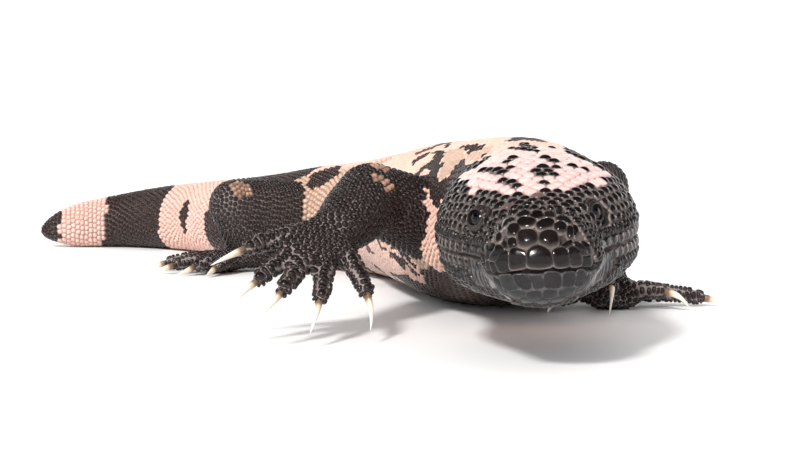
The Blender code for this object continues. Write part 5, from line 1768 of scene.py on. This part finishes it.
def node_material(name, roughness, spread, grain, bump, speckle, specular):
    """A skin or horn material: the marking's colour with fine speckle, varied gloss and a fine relief."""
    material, nodes, links, shader = new_material(name)
    shader.inputs["Metallic"].default_value = 0.0
    shader.inputs["Specular IOR Level"].default_value = specular
    marking = nodes.new("ShaderNodeVertexColor")
    marking.layer_name = "marking"
    place = nodes.new("ShaderNodeTexCoord")
    cloud = add_node(nodes, "ShaderNodeTexNoise", Scale=grain, Detail=CLOUD_DETAIL)
    dark = map_range(nodes, 1 - speckle, 1 + speckle)
    tint = nodes.new("ShaderNodeVectorMath")
    tint.operation = "SCALE"
    gloss = map_range(nodes, roughness - spread, roughness + spread)
    relief = add_node(nodes, "ShaderNodeTexNoise", Scale=grain * RELIEF_GRAIN, Detail=RELIEF_DETAIL)
    bumps = add_node(nodes, "ShaderNodeBump", Strength=bump, Distance=RELIEF_DEPTH)
    for start, end in (
        (place.outputs["Object"], cloud.inputs["Vector"]),
        (cloud.outputs["Fac"], dark.inputs["Value"]),
        (marking.outputs["Color"], tint.inputs[0]),
        (dark.outputs["Result"], tint.inputs["Scale"]),
        (tint.outputs["Vector"], shader.inputs["Base Color"]),
        (cloud.outputs["Fac"], gloss.inputs["Value"]),
        (gloss.outputs["Result"], shader.inputs["Roughness"]),
        (place.outputs["Object"], relief.inputs["Vector"]),
        (relief.outputs["Fac"], bumps.inputs["Height"]),
        (bumps.outputs["Normal"], shader.inputs["Normal"]),
    ):
        links.new(start, end)
    return material


def floor_material():
    material, nodes, links, shader = new_material("floor")
    shader.inputs["Roughness"].default_value = FLOOR_ROUGHNESS
    cloud = add_node(nodes, "ShaderNodeTexNoise", Scale=FLOOR_GRAIN)
    blend = nodes.new("ShaderNodeMix")
    blend.data_type = "RGBA"
    blend.inputs["A"].default_value, blend.inputs["B"].default_value = FLOOR_TONES
    links.new(cloud.outputs["Fac"], blend.inputs["Factor"])
    links.new(blend.outputs["Result"], shader.inputs["Base Color"])
    return material


# Putting it together

def dress(thing, material, slot, *nodes):
    thing.data.materials.append(material)
    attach(thing, "root")
    if nodes:
        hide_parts(*nodes)


def make_skin_and_beads(materials):
    """Lays out the beads, evens them out, and makes their pieces, the plates and the skin."""
    random = np.random.default_rng(RANDOM_SEED)
    work = merged_skin()
    work.faces.ensure_lookup_table()
    tree = BVHTree.FromBMesh(work)
    work.normal_update()
    normals = np.array([np.mean([v.normal for v in f.verts], axis=0) for f in work.faces])
    plates, plate_reach, plate_turns = make_plates()
    beads = Beads()
    void_beads(beads)
    guard_plates(beads, plates, plate_reach, plate_turns)
    body_beads(beads, random)
    limb_beads(beads, random)
    fields = drop_onto(beads.arrays(), tree, normals)
    fields = thinned(fields)
    fields = relaxed(fields, tree, normals, RELAX_TURNS)
    fields = filled(fields, work)
    fields = relaxed(fields, tree, normals, LAST_TURNS)
    carve_head(work)
    work.normal_update()
    work.faces.ensure_lookup_table()
    tree = BVHTree.FromBMesh(work)
    fields = tones(fields, random)
    near = neighbours(fields, NEAR_TO_SHAPE)
    direction, edge, _ = cell_edges(fields, near)
    drawn = fields["kind"] == BEAD
    for name in sorted(set(fields["piece"][drawn])):
        chosen = np.flatnonzero((fields["piece"] == name) & drawn)
        piece = settle(fields, chosen)
        profile, sides = FINENESS.get(name, (PROFILE, 9))
        turns = full_turn(sides)
        lean = np.clip(np.cos(turns[None, None] - direction[chosen][..., None]), 0, None)
        pull = (lean / edge[chosen][..., None]) ** CORNER
        own = oval(piece["long"][:, None], piece["wide"][:, None], turns[None])
        reach = (pull.sum(1) + (1 / (own * MOST_REACH)) ** CORNER) ** (-1 / CORNER) - GROOVE
        reach = np.maximum(reach, LEAST_REACH)
        drop = root_drop(piece, reach, turns, tree)
        thing = bead_mesh(name, piece, reach, drop, turns, profile)
        slot = "pink_skin" if name.startswith(("beads_neck", "beads_torso")) else "black_skin"
        dress(thing, materials["bead"], slot)
    plates = tones(plates, random)
    for name in PLATE_TONES:
        chosen = plates["piece"] == name
        piece, reach = settle(plates, chosen), plate_reach[chosen]
        drop = root_drop(piece, reach, plate_turns, tree)
        thing = bead_mesh(name, piece, reach, drop, plate_turns, PLATE_PROFILE)
        dress(thing, materials["plate"], "black_skin")
    make_skin(work, fields, materials["skin"])


def make_skin(work, fields, material):
    work.verts.ensure_lookup_table()
    points = np.array([v.co for v in work.verts])
    points[:, 2] = np.maximum(points[:, 2], FLOOR_CLEAR)
    quads = np.array([[v.index for v in f.verts] for f in work.faces if len(f.verts) == 4])
    triangles = np.array([[v.index for v in f.verts] for f in work.faces if len(f.verts) == 3])
    parts = [quads] + ([triangles] if len(triangles) else [])
    skin = mesh_from("skin", points, parts, skin_colours(points, fields))
    flesh = ["head", "lower_jaw", "neck", "torso", "tail"]
    flesh += [f"{leg}_{part}" for leg in LEGS for part in ("upper_leg", "lower_leg", "foot")]
    dress(skin, material, "black_skin", *flesh)
    work.free()


def make_stage():
    """A pale floor that sweeps up into a low wall all round, open studio light and one soft key light."""
    bend = np.radians(np.arange(0, 91, 6))
    edge = FLOOR_REACH + WALL_BEND
    reach = np.concatenate([FLOOR_RINGS, FLOOR_REACH + WALL_BEND * np.sin(bend), [edge]])
    height = np.concatenate([np.zeros(len(FLOOR_RINGS)), WALL_BEND * (1 - np.cos(bend)), [WALL_TOP]])
    turns = full_turn(FLOOR_SIDES)
    level = np.broadcast_to(height[:, None], (len(height), len(turns)))
    rings = np.stack([reach[:, None] * np.cos(turns), reach[:, None] * np.sin(turns), level], -1)
    data = bpy.data.meshes.new("floor")
    faces = [tuple(map(int, face)) for face in grid_faces(len(reach), len(turns))]
    faces.append(tuple(range(len(turns)))[::-1])
    data.from_pydata(rings.reshape(-1, 3).tolist(), [], [face[::-1] for face in faces])
    data.polygons.foreach_set("use_smooth", np.ones(len(faces), bool))
    floor = bpy.data.objects.new("floor", data)
    bpy.context.scene.collection.objects.link(floor)
    data.materials.append(floor_material())
    floor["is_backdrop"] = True
    world = bpy.data.worlds.new("studio")
    world.use_nodes = True
    background = world.node_tree.nodes["Background"]
    background.inputs["Color"].default_value = (1.0, 1.0, 1.0, 1.0)
    background.inputs["Strength"].default_value = WORLD_LIGHT
    world.cycles_visibility.glossy = False
    bpy.context.scene.world = world
    sun = bpy.data.lights.new("key", "SUN")
    sun.energy, sun.angle, sun.color = KEY_LIGHT, KEY_SOFTNESS, KEY_TONE
    light = bpy.data.objects.new("key", sun)
    light.rotation_euler = Vector(KEY_FROM).to_track_quat("Z", "Y").to_euler()
    bpy.context.scene.collection.objects.link(light)
    bpy.context.scene.view_settings.view_transform = "Standard"


def make_camera():
    data = bpy.data.cameras.new("camera")
    data.lens, data.sensor_width, data.clip_start = LENS, SENSOR, NEAR_CLIP
    camera = bpy.data.objects.new("camera", data)
    camera.location = [c * MM for c in CAMERA_PLACE]
    camera.rotation_euler = (math.pi / 2 - CAMERA_DIP, 0.0, 0.0)
    bpy.context.scene.collection.objects.link(camera)
    bpy.context.scene.camera = camera


def main():
    make_camera()
    make_stage()
    materials = {name: node_material(name, *values) for name, values in MATERIALS.items()}
    make_skin_and_beads(materials)
    for side, sign, centre in eyes():
        dress(make_eye(side, sign, centre), materials["eye"], "eye", "eye_" + side)
        dress(make_lids(side, sign, centre), materials["bead"], "black_skin")
    for name, leg in LEGS.items():
        plan = FEET[name]
        for n, (knuckle, end, tip) in enumerate(plan["toes"], start=1):
            claw = make_claw(f"horn_{name}_{n}", leg, plan, knuckle, end, tip)
            dress(claw, materials["horn"], "claw_horn", f"{name}_claw_{n}")
    low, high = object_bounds()
    sizes = {"cad": [list(map(float, c)) for c in CAD_BOX], "scene": [list(map(float, c)) for c in (low, high)]}


main()
